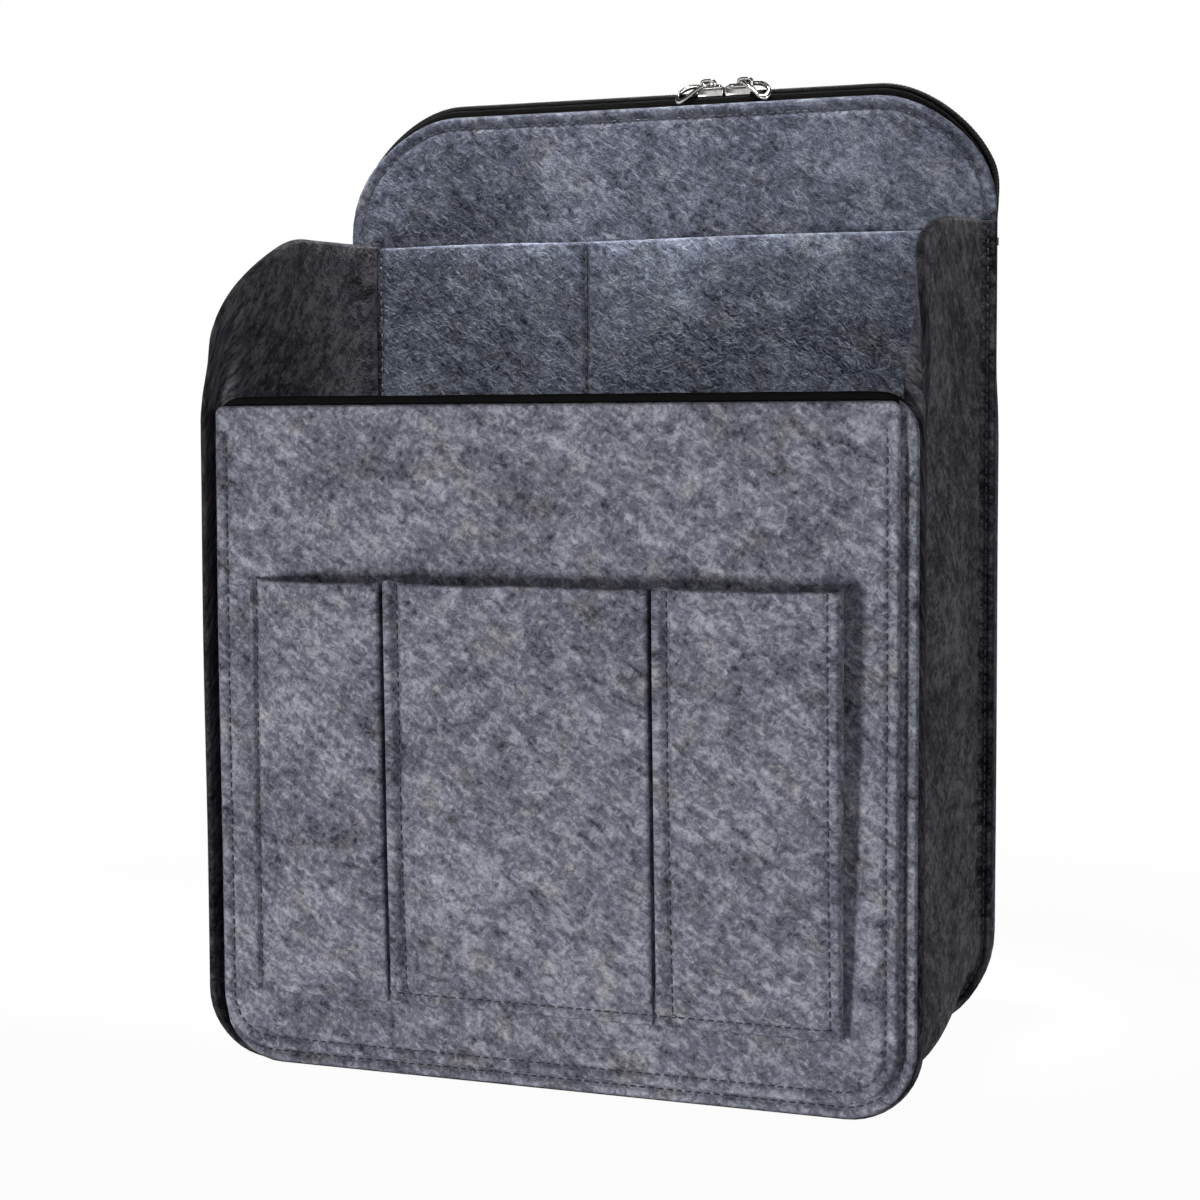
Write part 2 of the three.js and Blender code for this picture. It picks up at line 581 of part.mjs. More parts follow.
// Pull: a long flat ring, the middle of its inner end on the pivot, its tip along -X
function pull() {
  const eyeX = PULL_BAR / 2 - PULL_RADIUS;
  const tipX = PULL_BAR / 2 - PULL_LENGTH + PULL_RADIUS;
  const longRing = (outline, radius) => {
    outline.absarc(eyeX, 0, radius, -Math.PI / 2, Math.PI / 2, false);
    outline.absarc(tipX, 0, radius, Math.PI / 2, 1.5 * Math.PI, false);
    return outline;
  };
  const shape = longRing(new THREE.Shape(), PULL_RADIUS);
  shape.holes.push(longRing(new THREE.Path(), PULL_RADIUS - PULL_BAR));
  const options = { depth: PULL_BAR, bevelEnabled: false, curveSegments: ARC_STEPS };
  const geometry = new THREE.ExtrudeGeometry(shape, options);
  geometry.translate(0, 0, -PULL_BAR / 2);
  return geometry;
}

const PIVOT_X = BAIL_TAIL + BAIL_THICKNESS + PULL_PLAY + PULL_BAR / 2;
const PIVOT_Z = PLATE_TOP + BAIL_WINDOW / 2;

for (const [name, side] of [['left', -1], ['right', 1]]) {
  const carriage = new THREE.Group();
  carriage.position.set(MEETING_X + side * (CLEAR + SLIDER_LENGTH / 2), ZIP_Y, BACK_TOP);
  carriage.rotation.z = side < 0 ? 0 : Math.PI;
  organizer.add(carriage);
  addPiece(`slider_${name}`, slider(), nickel, carriage);
  const pivot = new THREE.Group();
  pivot.position.set(PIVOT_X, 0, PIVOT_Z);
  pivot.rotation.order = 'ZYX';
  pivot.rotation.z = -side * PULL_SPLAY;
  pivot.rotation.y = -PULL_DROOP;
  carriage.add(pivot);
  addPiece(`pull_${name}`, pull(), nickel, pivot);
}

// Seams of the front, the back and the zip
const facingSeam = trayStations(FACING_HALF - FACING_SEAM, FACING_MARGIN + FACING_SEAM,
  facingCorner - FACING_SEAM, FRONT_HEIGHT - FACING_SEAM);
addPiece('front_seam_thread', sweep(facingSeam, beadSection(-THREAD_SEAT)), greyThread);

const rimSeam = trayStations(FACING_HALF + RIM_SEAM, FACING_MARGIN - RIM_SEAM,
  facingCorner + RIM_SEAM, FRONT_HEIGHT - FRONT_WALL_TOP_CORNER);
addPiece('rim_seam_thread', sweep(rimSeam, beadSection(FRONT_WALL_Y - THREAD_SEAT)), greyThread);

const flangeSeam = trayStations(
  panelHalf - FLANGE_SEAM, FLANGE_SEAM, BACK_CORNER - FLANGE_SEAM, WALL_TOP);
addPiece('back_seam_thread', sweep(flangeSeam, beadSection(BACK_FLANGE_FACE - THREAD_SEAT)), greyThread);

const frontArchSeam = archStations(ZIP_SEAM, WALL_TOP + THREAD);
addPiece('zip_seam_thread_front', sweep(frontArchSeam, beadSection(BODY_DEPTH - THREAD_SEAT)), greyThread);
const rearArchSeam = archStations(ZIP_SEAM, ZIP_START);
addPiece('zip_seam_thread_rear', sweep(rearArchSeam, beadSection(REAR_REACH + THREAD_SEAT)), greyThread);

// Seams of the pockets: along the foot and beside the folds
function acrossThread(from, to, y, z) {
  return sweep([station(from, z, Math.PI / 2), station(to, z, Math.PI / 2)], beadSection(y));
}

const footSeamZ = POCKET_BOTTOM + POCKET_SEAM;
const footSeamY = pocketFaceY(footSeamZ) - FELT / 2 - THREAD_SEAT;
const footSeam = acrossThread(FIRST_PLEAT + PLEAT, POCKET_RIGHT - FELT, footSeamY, footSeamZ);
addPiece('pocket_foot_thread', footSeam, greyThread);

function pocketThread(x, middleY) {
  const levels = steps(footSeamZ + THREAD, POCKET_TOP, POCKET_ROWS);
  return risingThread(levels.map((z) => new THREE.Vector3(x, middleY(z) - FELT / 2 - THREAD_SEAT, z)));
}
addPiece('pocket_hem_thread', pocketThread(POCKET_LEFT + POCKET_HEM / 2, () => POCKET_BASE_Y), greyThread);
const foldSeams = [
  ['middle', FIRST_PLEAT + PLEAT + POCKET_SEAM],
  ['right', SECOND_PLEAT + POCKET_SEAM],
  ['end', POCKET_RIGHT - POCKET_SEAM],
];
for (const [name, x] of foldSeams) {
  addPiece(`pocket_fold_thread_${name}`, pocketThread(x, pocketFaceY), greyThread);
}

function slipThread(x) {
  const y = SLIP_SEAT_Y - FELT / 2 - THREAD_SEAT;
  return risingThread([new THREE.Vector3(x, y, SLIP_BOTTOM), new THREE.Vector3(x, y, WALL_TOP)]);
}
const slipSeams = [['left', THREAD - SLIP_HALF], ['middle', SLIP_SEAM_X], ['right', SLIP_HALF - THREAD]];
for (const [name, x] of slipSeams) {
  addPiece(`inner_pocket_thread_${name}`, slipThread(x), greyThread);
}

export default organizer;
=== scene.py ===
"""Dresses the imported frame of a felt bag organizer: cut and folded felt, stitches, tape, zip and stage."""
import math

import bmesh
import bpy
import numpy as np
from bpy.props import FloatProperty, FloatVectorProperty, PointerProperty
from mathutils import Matrix, Vector


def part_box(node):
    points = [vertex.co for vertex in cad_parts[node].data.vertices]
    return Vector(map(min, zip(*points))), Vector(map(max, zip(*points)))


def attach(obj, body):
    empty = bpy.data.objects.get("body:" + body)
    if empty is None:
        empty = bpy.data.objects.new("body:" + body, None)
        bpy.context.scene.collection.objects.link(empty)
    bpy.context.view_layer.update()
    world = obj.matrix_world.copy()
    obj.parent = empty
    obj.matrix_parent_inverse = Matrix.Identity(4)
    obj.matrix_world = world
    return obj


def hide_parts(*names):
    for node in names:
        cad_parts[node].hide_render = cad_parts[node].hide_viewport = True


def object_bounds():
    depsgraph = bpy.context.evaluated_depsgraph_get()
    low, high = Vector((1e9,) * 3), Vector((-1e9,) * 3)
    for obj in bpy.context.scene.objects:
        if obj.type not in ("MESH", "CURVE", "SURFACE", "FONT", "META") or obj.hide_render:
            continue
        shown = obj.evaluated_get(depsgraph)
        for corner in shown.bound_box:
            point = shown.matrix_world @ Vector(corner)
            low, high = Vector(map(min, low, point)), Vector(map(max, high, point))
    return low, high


bl_info = {
    "name": "Felt Bag Organizer",
    "version": (1, 0, 0),
    "blender": (4, 5, 0),
    "location": "View3D > Sidebar > Organizer",
    "description": "Builds the felt, stitches, tape and zip of a bag organizer on its packed frame",
    "category": "Object",
}

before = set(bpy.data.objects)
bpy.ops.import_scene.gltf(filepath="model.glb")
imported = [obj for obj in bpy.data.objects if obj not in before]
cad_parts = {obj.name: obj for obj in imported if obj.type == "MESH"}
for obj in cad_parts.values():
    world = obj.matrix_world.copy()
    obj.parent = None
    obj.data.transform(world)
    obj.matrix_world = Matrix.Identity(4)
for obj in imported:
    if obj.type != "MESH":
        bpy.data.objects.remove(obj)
CAD_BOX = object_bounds()
MM = 0.001
FACE_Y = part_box("front_panel")[0].y / MM  # depths below are counted from the front panel's face


def node_box(node):
    """A node's lowest and highest corner in millimetres, with depth from the front panel's face."""
    shift = np.array([0.0, FACE_Y, 0.0])
    low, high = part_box(node)
    return np.array(low) / MM - shift, np.array(high) / MM - shift


PANEL_LOW, PANEL_HIGH = node_box("front_panel")
RIM_LOW, RIM_HIGH = node_box("front_wall")
GUSSET_LOW, GUSSET_HIGH = node_box("side_gusset")
BACK_LOW, BACK_HIGH = node_box("back_panel")
REAR_LOW, REAR_HIGH = node_box("rear_panel")
POCKETS_LOW, POCKETS_HIGH = node_box("front_pockets")
SLIP_LOW, SLIP_HIGH = node_box("inner_pocket")
BINDING_LOW, BINDING_HIGH = node_box("front_wall_binding")
ZIP_START = node_box("zip_tape_front")[0][2]
CHAIN_START = node_box("zip_chain_front")[0][2]
TAB_LOW, TAB_HIGH = node_box("zip_tab_right")

FELT = PANEL_HIGH[1] - PANEL_LOW[1]
CLEAR = RIM_LOW[1] - PANEL_HIGH[1]
FRONT_TOP = PANEL_HIGH[2]
FACING_HALF = PANEL_HIGH[0]
RIM_HALF = RIM_HIGH[0]
WALL_TOP = GUSSET_HIGH[2]
BACK_HALF = BACK_HIGH[0]
BACK_TOP = BACK_HIGH[2]

# Roundings and folds of the frame's felt, in millimetres
RIM_CORNER = 25.0
FACING_CORNER = 18.5
FACING_TOP_CORNER = 3.0
RIM_TOP_CORNER = 13.0
BACK_CORNER = 44.0
BACK_FOOT_CORNER = 39.0
BEND_DIP = 11.0  # how much tighter the gusset bends between its flanges
FLANGE_REACH = 7.0
FLANGE_TIP = 1.2  # the last stretch of a plain flange
WALL_MIDDLE = RIM_HALF - FLANGE_REACH
FRONT_FLANGE_Y = GUSSET_LOW[1] + FELT / 2
BACK_FLANGE_Y = GUSSET_HIGH[1] - FELT / 2
WALL_CORNER_DEPTH = 64.0
WALL_CORNER_HEIGHT = 44.0
FLANGE_SOFT = 2.4
TIP_SOFT = 0.3
LIP_Y = 3.7  # the left flange's edge turns forward round the front wall
LIP_OUT = 7.3
FLARE = 5.2  # how far the walls' free front edge stands out, easing off over its length
FLARE_LENGTH = 34.0
FLARE_BACK = 3.5
FLARE_START = FRONT_TOP - 8.0
FLARE_FULL = FRONT_TOP + 14.0
WALL_LEAN = 2.5
LEAN_DEPTH = 33.0
LEAN_REACH = 25.0
WALL_SWAY = 2.8  # of both walls' free edges to the right
WALL_RISE = {-1: 1.0, 1: 2.8}  # of the left and the right wall's top at the back
WALL_TUCK = {-1: 3.8, 1: 0.0}  # how far a wall bellies in before its back fold
WALL_WAVE = 1.6  # of the walls, as a share of the panels' wave
RIM_LEFT, RIM_RIGHT, RIM_FOOT = 3.1, 1.3, 1.2  # insets of the front wall in the gusset's flange
RIM_CURL = 2.3  # how far the front wall's left edge bends back
REAR_SHIFT = {-1: 1.4, 1: 3.2}  # of the zip's left and right end, to the left
CORNER_DROOP = 2.0  # of the back's top corners
BINDING_HALF = 119.2
POCKET_HEM = 5.0
FIRST_PLEAT = -56.0
SECOND_PLEAT = 43.0
PLEAT = 4.4
POCKET_FOOT = 0.8
SLIP_SEAM_X = -27.7
SLIP_EDGE_SEAM = 0.7
REAR_RAMP = 38.0
REAR_OPENING = 45.0
ZIP_Y = (BACK_HIGH[1] + REAR_HIGH[1] - FELT) / 2
ZIP_HALF_GAP = (REAR_HIGH[1] - FELT - BACK_HIGH[1]) / 2
ZIP_SINK = 4.0
TAPE = 0.9
TAPE_SEWN = 8.0
SHELF_MIDDLE = 2.35
CHAIN_GAP = 1.4
CHAIN_FOOT = 3.1
CHAIN_SIDE = 2.6

# Where those forms set in and where they are full, as distances, depths or levels
CURL_SPAN = (FACING_HALF - 1, FACING_HALF + 2.5)
SHIFT_DEPTHS = (119, 124)
SHIFT_LEVELS = (215, 280)
SHIFT_TOP = 316
SHIFT_FADE = 24
OUTER_SPAN = (80, 116)  # of the back's corners, from its middle
DROOP_DEPTHS = (112, 119)
DROOP_LEVELS = (296, 336)
LEAN_LEVELS = (FLARE_FULL, WALL_TOP - 5)
TUCK_DEPTHS = (98, BACK_FLANGE_Y)
TUCK_FOLD = (0.5, 6)
TUCK_LEVELS = (110, 215)
SWAY_LEVELS = (FLARE_START, FLARE_FULL + 10)
SWAY_DEPTHS = (30, 90)
RISE_DEPTHS = (55, 105)
FREE_SPAN = (4, 40)  # of the walls' own wander, from both flanges
FRONT_SEWN_DEPTHS = (FRONT_FLANGE_Y + 2, FRONT_FLANGE_Y + 30)
FRONT_SEWN_LEVELS = (FRONT_TOP - 10, FRONT_TOP + 20)
BACK_SEWN_DEPTHS = (BACK_FLANGE_Y - 30, BACK_FLANGE_Y - 2)

# Seams, as distances from the edges that they follow, and where some of them run out
FACING_SEAM = 4.0
RIM_SEAM = 1.6
FLANGE_SEAM = 2.8
ZIP_SEAM = 4.5
POCKET_SEAM = 3.6
SEAM_WIDTH = 1.1
PRESSED_CREASE = 9.2  # of the middle pocket, from its fold
FACING_SEAM_END = (0.5, 3)
RIM_SEAM_END = (0, 3)
ZIP_SEAM_END = (WALL_TOP - 2, WALL_TOP + 1)
REAR_SEAM_END = (ZIP_START - 2, ZIP_START + 2)
ZIP_SEAM_PULL = 0.6  # of the back panel's face, as a share of the seams' depth

# Seeds and lengths of the slow waves in the felt and the tape
FRONT_RIPPLE = (1.0, 52.0)
BACK_RIPPLE = (2.3, 60.0)
WALL_RIPPLE = (3.1, 55.0)
MOUTH_RIPPLE = (5.2, 17.0)
SLIP_RIPPLE = (6.4, 30.0)
BINDING_RIPPLE = (7.7, 21.0)

LAYER_STEP = 100  # between the felts of different pieces, in the third part of their flat places
LAYERS = {
    "front_panel": 100, "front_wall": 200, "back_panel": 300, "rear_panel": 400, "side_gusset": 500,
    "front_pockets": 600, "slip_pocket": 700, "zip_tape": 800, "front_binding": 900, "zip_tab": 950,
    "stitches": 1000,
}


class FeltSettings(bpy.types.PropertyGroup):
    """Felt of the panels, walls and pockets."""

    colour: FloatVectorProperty(
        name="Felt", description="Middle grey of the felt", subtype="COLOR", size=3,
        min=0, max=1, default=(0.172, 0.178, 0.226))
    pale_fibre: FloatVectorProperty(
        name="Pale Fibres", description="Palest fibres in the felt", subtype="COLOR", size=3,
        min=0, max=1, default=(0.48, 0.49, 0.55))
    dark_fibre: FloatVectorProperty(
        name="Dark Fibres", description="Darkest fibres in the felt", subtype="COLOR", size=3,
        min=0, max=1, default=(0.038, 0.040, 0.050))
    # Painted shade: the slip pocket and the rear panel get a darker, bluer copy of the front's felt, which
    # stands in for light that the lamps don't give them
    inner_painted_shade: FloatVectorProperty(
        name="Inner Painted Shade", description="Multiplies the greys of the slip pocket and the rear panel",
        subtype="COLOR", size=3, min=0, max=1, default=(0.595, 0.63, 0.68))
    # Painted shade: the back panel gets a still darker copy of the front's felt, which stands in for light
    # that the lamps don't give it
    back_painted_shade: FloatVectorProperty(
        name="Back Painted Shade", description="Multiplies the greys of the back panel",
        subtype="COLOR", size=3, min=0, max=1, default=(0.47, 0.49, 0.53))
    gusset_tint: FloatVectorProperty(
        name="Gusset Tint", description="Multiplies the greys of the side gusset",
        subtype="COLOR", size=3, min=0, max=1, default=(0.31, 0.29, 0.285))
    cut_edge: FloatProperty(
        name="Cut Edge", description="Rounding of the felt's cut edges", subtype="DISTANCE", default=0.0012)
    wave: FloatProperty(
        name="Wave", description="How far the panels wander from flat", subtype="DISTANCE", default=0.0005)
    bulge: FloatProperty(
        name="Pocket Bulge", description="How far the pocket faces belly out", subtype="DISTANCE",
        default=0.0013)
    seam_depth: FloatProperty(
        name="Seam Depth", description="How deep the seams pull into the felt", subtype="DISTANCE",
        default=0.0008)


class StitchSettings(bpy.types.PropertyGroup):
    """Sewing thread."""

    pitch: FloatProperty(
        name="Stitch Length", description="From one needle hole to the next", subtype="DISTANCE",
        default=0.0032)
    thread: FloatProperty(
        name="Thread", description="Thread diameter", subtype="DISTANCE", default=0.00056)
    colour: FloatVectorProperty(
        name="Thread Colour", description="Colour of the sewing thread", subtype="COLOR", size=3,
        min=0, max=1, default=(0.046, 0.049, 0.062))


class ZipSettings(bpy.types.PropertyGroup):
    """Tape, coil and metal of the zip."""

    tape: FloatVectorProperty(
        name="Tape", description="Colour of the woven tape", subtype="COLOR", size=3,
        min=0, max=1, default=(0.0036, 0.0036, 0.0035))
    coil: FloatVectorProperty(
        name="Coil", description="Colour of the nylon coil", subtype="COLOR", size=3,
        min=0, max=1, default=(0.0065, 0.0065, 0.0062))
    nickel: FloatVectorProperty(
        name="Nickel", description="Colour of the plated sliders", subtype="COLOR", size=3,
        min=0, max=1, default=(0.58, 0.565, 0.54))
    coil_pitch: FloatProperty(
        name="Coil Pitch", description="From one turn of the coil to the next", subtype="DISTANCE",
        default=0.0014)


class StageSettings(bpy.types.PropertyGroup):
    """Floor, lamps and camera."""

    floor: FloatVectorProperty(
        name="Floor", description="Colour of the floor", subtype="COLOR", size=3,
        min=0, max=1, default=(0.88, 0.88, 0.88))
    ambient: FloatProperty(name="Ambient", description="Light from all around", default=0.11, min=0)
    key: FloatProperty(name="Key", description="Lamp at the front left", subtype="POWER", default=108.0)
    side: FloatProperty(name="Side", description="Lamp at the right", subtype="POWER", default=12.0)
    back: FloatProperty(name="Back", description="Lamp behind", subtype="POWER", default=5.0)
    top: FloatProperty(name="Top", description="Narrow lamp over the opening", subtype="POWER", default=0.9)
    camera_place: FloatVectorProperty(
        name="Camera Place", description="Where the camera stands", subtype="TRANSLATION", size=3,
        default=(0.29009, -0.77454, 0.22311))
    yaw: FloatProperty(
        name="Yaw", description="Turn of the camera to the left", subtype="ANGLE",
        default=math.radians(20.709))
    pitch: FloatProperty(
        name="Pitch", description="Tilt of the camera downwards", subtype="ANGLE",
        default=math.radians(4.343))
    roll: FloatProperty(
        name="Roll", description="Turn about the line of sight", subtype="ANGLE",
        default=math.radians(-0.293))
    lens: FloatProperty(
        name="Lens", description="Focal length for a 36 mm wide frame", subtype="DISTANCE_CAMERA",
        default=70.67)


# Numbers over a sheet

def smooth(value, low, high):
    t = np.clip((np.asarray(value, float) - low) / (high - low), 0, 1)
    return t * t * (3 - 2 * t)


def lerp(low, high, t):
    return low + (high - low) * t


def ripple(u, v, seed, length):
    """A slow value from -1 to 1 that wanders over a sheet."""
    broad = np.sin(2.1 * u / length + seed) * np.cos(1.7 * v / length - 1.3 * seed)
    slant = np.sin((1.9 * u + 2.5 * v) / length + 2.7 * seed)
    cross = np.sin((4.2 * u - 2.4 * v) / length + 4.1 * seed)
    return 0.5 * broad + 0.3 * slant + 0.2 * cross


def felt_values():
    return bpy.context.scene.organizer_felt


def felt_mm(name):
    """One of the felt's lengths in millimetres."""
    return getattr(felt_values(), name) / MM


def seam_depth():
    return felt_mm("seam_depth")


def front_sway(x, z):
    """Wander of the front's layers, the same for all of them so that they stay apart."""
    return felt_mm("wave") * ripple(x, z, *FRONT_RIPPLE)


def rim_sway(x, z):
    """Sway of the front wall, whose left edge bends back."""
    return front_sway(x, z) + RIM_CURL * smooth(-x, *CURL_SPAN)


def back_sway(x, z):
    return felt_mm("wave") * ripple(x, z, *BACK_RIPPLE)


def swayed(sway, depth):
    """Depth of a face over X and Z that sways with a panel."""
    return lambda x, z: depth + sway(x, z)


def valley(distance, width=SEAM_WIDTH):
    """How deep a seam pulls the felt in beside it, from 0 to 1."""
    return np.exp(-(np.asarray(distance, float) / width) ** 2)


EDGE_STEPS = np.array([0.0, 0.08, 0.3, 0.65, 1.0])
SEAM_STEPS = np.array([-1.0, -0.62, -0.36, -0.16, 0.0, 0.16, 0.36, 0.62, 1.0]) * 2.2
CLOSEST = 0.05


def places(length, step, marks=(), edge=None):
    """Distances along a sheet: close together at its borders and beside marks, evenly spread between."""
    edge = felt_mm("cut_edge") if edge is None else edge
    inner = length - 2 * edge
    even = edge + np.linspace(0, inner, max(int(round(inner / step)), 1) + 1)
    near = [mark + offset for mark in marks for offset in SEAM_STEPS]
    wanted = np.concatenate([EDGE_STEPS * edge, length - EDGE_STEPS * edge, even, near])
    wanted = np.sort(wanted[(wanted >= 0) & (wanted <= length)])
    kept = [0.0]
    for place in wanted:
        if place - kept[-1] > CLOSEST and length - place > CLOSEST:
            kept.append(place)
    return np.array(kept + [length])


def from_ends(line):
    """Distance to the nearer end, at places along a line that starts at 0."""
    return np.minimum(line, line[-1] - line)


def border_ease(distance, edge=None):
    """1 inside a sheet, falling to 0 at its border as a round edge does."""
    edge = felt_mm("cut_edge") if edge is None else edge
    short = 1 - np.clip(np.asarray(distance, float) / edge, 0, 1)
    return np.sqrt(1 - short * short)


def sheet_ease(rows, columns, edge=None):
    """Ease over a grid from its rows' and columns' distances to the border, 0 all round."""
    ease = border_ease(rows, edge)[:, None] * border_ease(columns, edge)
    ease[[0, -1], :] = 0
    ease[:, [0, -1]] = 0
    return ease


def flat_grid(rows, columns):
    return np.stack(np.meshgrid(rows, columns, indexing="ij"), axis=-1)


# Bent lines in a plane

def offset_corners(corners, distance):
    """The corners of a line of straight runs, moved sideways and mitred."""
    runs = np.diff(corners, axis=0)
    runs = runs / np.linalg.norm(runs, axis=1)[:, None]
    sides = np.stack([-runs[:, 1], runs[:, 0]], axis=1)
    before = np.vstack([sides[:1], sides])
    after = np.vstack([sides, sides[-1:]])
    lean = 1 + (before * after).sum(axis=1)
    return corners + distance * (before + after) / lean[:, None]


BEND_STEPS = 6
BEND_SHARE = 0.46  # most of a run that a rounding takes up


def bent_line(corners, softness, spans):
    """Points along straight runs whose inner corners are rounded; spans are fractions of each run."""
    corners = np.asarray(corners, float)
    lengths = np.linalg.norm(np.diff(corners, axis=0), axis=1)
    starts = [corners[0]]
    ends = []
    for i in range(1, len(corners) - 1):
        reach = min(softness[i - 1], BEND_SHARE * lengths[i - 1], BEND_SHARE * lengths[i])
        ends.append(corners[i] + (corners[i - 1] - corners[i]) * (reach / lengths[i - 1]))
        starts.append(corners[i] + (corners[i + 1] - corners[i]) * (reach / lengths[i]))
    ends.append(corners[-1])
    points = []
    for i, span in enumerate(spans):
        points.extend(starts[i] + (ends[i] - starts[i]) * t for t in span)
        if i + 1 < len(spans):
            for t in np.linspace(0, 1, BEND_STEPS + 1)[1:-1]:
                control = corners[i + 1]
                points.append((1 - t) ** 2 * ends[i] + 2 * t * (1 - t) * control + t * t * starts[i + 1])
    return np.array(points)


def along(points):
    """Length along a line at each of its points."""
    runs = np.linalg.norm(np.diff(points, axis=0), axis=1)
    return np.concatenate([[0.0], np.cumsum(runs)])


# Meshes

def grid_quads(index):
    corners = [index[:-1, :-1], index[1:, :-1], index[1:, 1:], index[:-1, 1:]]
    return np.stack(corners, axis=-1).reshape(-1, 4)


def ring_quads(index):
    return grid_quads(np.concatenate([index, index[:, :1]], axis=1))


def closed_sheet(face, rear, ease, flat, offset):
    """A sheet from grids of its two faces, which meet round the border where ease is 0."""
    rows, columns = ease.shape
    middle = (face + rear) / 2
    half = (face - middle) * ease[..., None]
    inside = np.zeros((rows, columns), bool)
    inside[1:-1, 1:-1] = True
    front_index = np.arange(rows * columns).reshape(rows, columns)
    rear_index = front_index.copy()
    rear_index[inside] = rows * columns + np.arange(inside.sum())
    points = np.concatenate([(middle + half).reshape(-1, 3), (middle - half)[inside]])
    depth = np.linalg.norm(half, axis=-1)[..., None]
    spots = np.concatenate([
        np.concatenate([flat, offset + depth], axis=-1).reshape(-1, 3),
        np.concatenate([flat, offset - depth], axis=-1)[inside],
    ])
    faces = np.concatenate([grid_quads(front_index), grid_quads(rear_index)[:, ::-1]]).tolist()
    return points, faces, spots


def closed_plate(rings, face_y, rear_y, offset):
    """A plate in the XZ plane from shrinking outlines; both faces share the outermost one."""
    count, around = rings.shape[:2]
    face_index = np.arange(count * around).reshape(count, around)
    rear_index = np.vstack([face_index[:1], face_index[1:] + (count - 1) * around])
    x, z = rings[..., 0], rings[..., 1]
    front = np.stack([x, face_y, z], axis=-1).reshape(-1, 3)
    rear = np.stack([x, rear_y, z], axis=-1)[1:].reshape(-1, 3)
    points = np.concatenate([front, rear])
    half = (rear_y - face_y) / 2
    layer = offset + np.concatenate([-half.ravel(), half[1:].ravel()])
    spots = np.stack([points[:, 0], points[:, 2], layer], axis=1)
    faces = ring_quads(face_index).tolist() + ring_quads(rear_index)[:, ::-1].tolist()
    faces += [face_index[-1].tolist(), rear_index[-1][::-1].tolist()]
    return points, faces, spots


def merged(shells):
    """Several meshes as one list of points, faces and flat places."""
    points, faces, spots, count = [], [], [], 0
    for shell_points, shell_faces, shell_spots in shells:
        points.append(shell_points)
        spots.append(shell_spots)
        faces.extend([corner + count for corner in face] for face in shell_faces)
        count += len(shell_points)
    return np.concatenate(points), faces, np.concatenate(spots)


def capped_rings(rings):
    """A closed solid through rings of points, filled at both ends."""
    count, around = rings.shape[:2]
    index = np.arange(count * around).reshape(count, around)
    faces = ring_quads(index).tolist() + [index[0][::-1].tolist(), index[-1].tolist()]
    points = rings.reshape(-1, 3)
    return points, faces, points.copy()


def settled(points):
    """Points moved with the zip's ends, which lie to the left, and with the back's drooping top corners."""
    x, y, z = points.T
    outer = smooth(np.abs(x), *OUTER_SPAN)
    level = smooth(z, *SHIFT_LEVELS) * smooth(SHIFT_TOP - z, 0, SHIFT_FADE)
    shift = np.where(x > 0, REAR_SHIFT[1], REAR_SHIFT[-1]) * outer * smooth(y, *SHIFT_DEPTHS) * level
    droop = CORNER_DROOP * outer * smooth(y, *DROOP_DEPTHS) * smooth(z, *DROOP_LEVELS)
    return np.stack([x - shift, y, z - droop], axis=1)


def make_piece(name, shell, finish, nodes, body="organizer", turn=None):
    """An object from millimetre points, riding on a body in place of the named nodes."""
    points, faces, spots = shell
    if turn is not None:
        points = points @ np.array(turn.to_3x3()).T + np.array(turn.translation)
    places_m = (settled(points) + np.array([0.0, FACE_Y, 0.0])) * MM
    mesh = bpy.data.meshes.new(name)
    mesh.from_pydata(places_m.tolist(), [], faces)
    work = bmesh.new()
    work.from_mesh(mesh)
    bmesh.ops.recalc_face_normals(work, faces=work.faces)
    work.to_mesh(mesh)
    work.free()
    flat = mesh.attributes.new("flat", "FLOAT_VECTOR", "POINT")
    flat.data.foreach_set("vector", (spots * MM).astype(np.float32).ravel())
    mesh.polygons.foreach_set("use_smooth", np.ones(len(mesh.polygons), bool))
    mesh.materials.append(finish)
    piece = bpy.data.objects.new(name, mesh)
    bpy.context.scene.collection.objects.link(piece)
    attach(piece, body)
    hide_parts(*nodes)
    return piece


# Materials

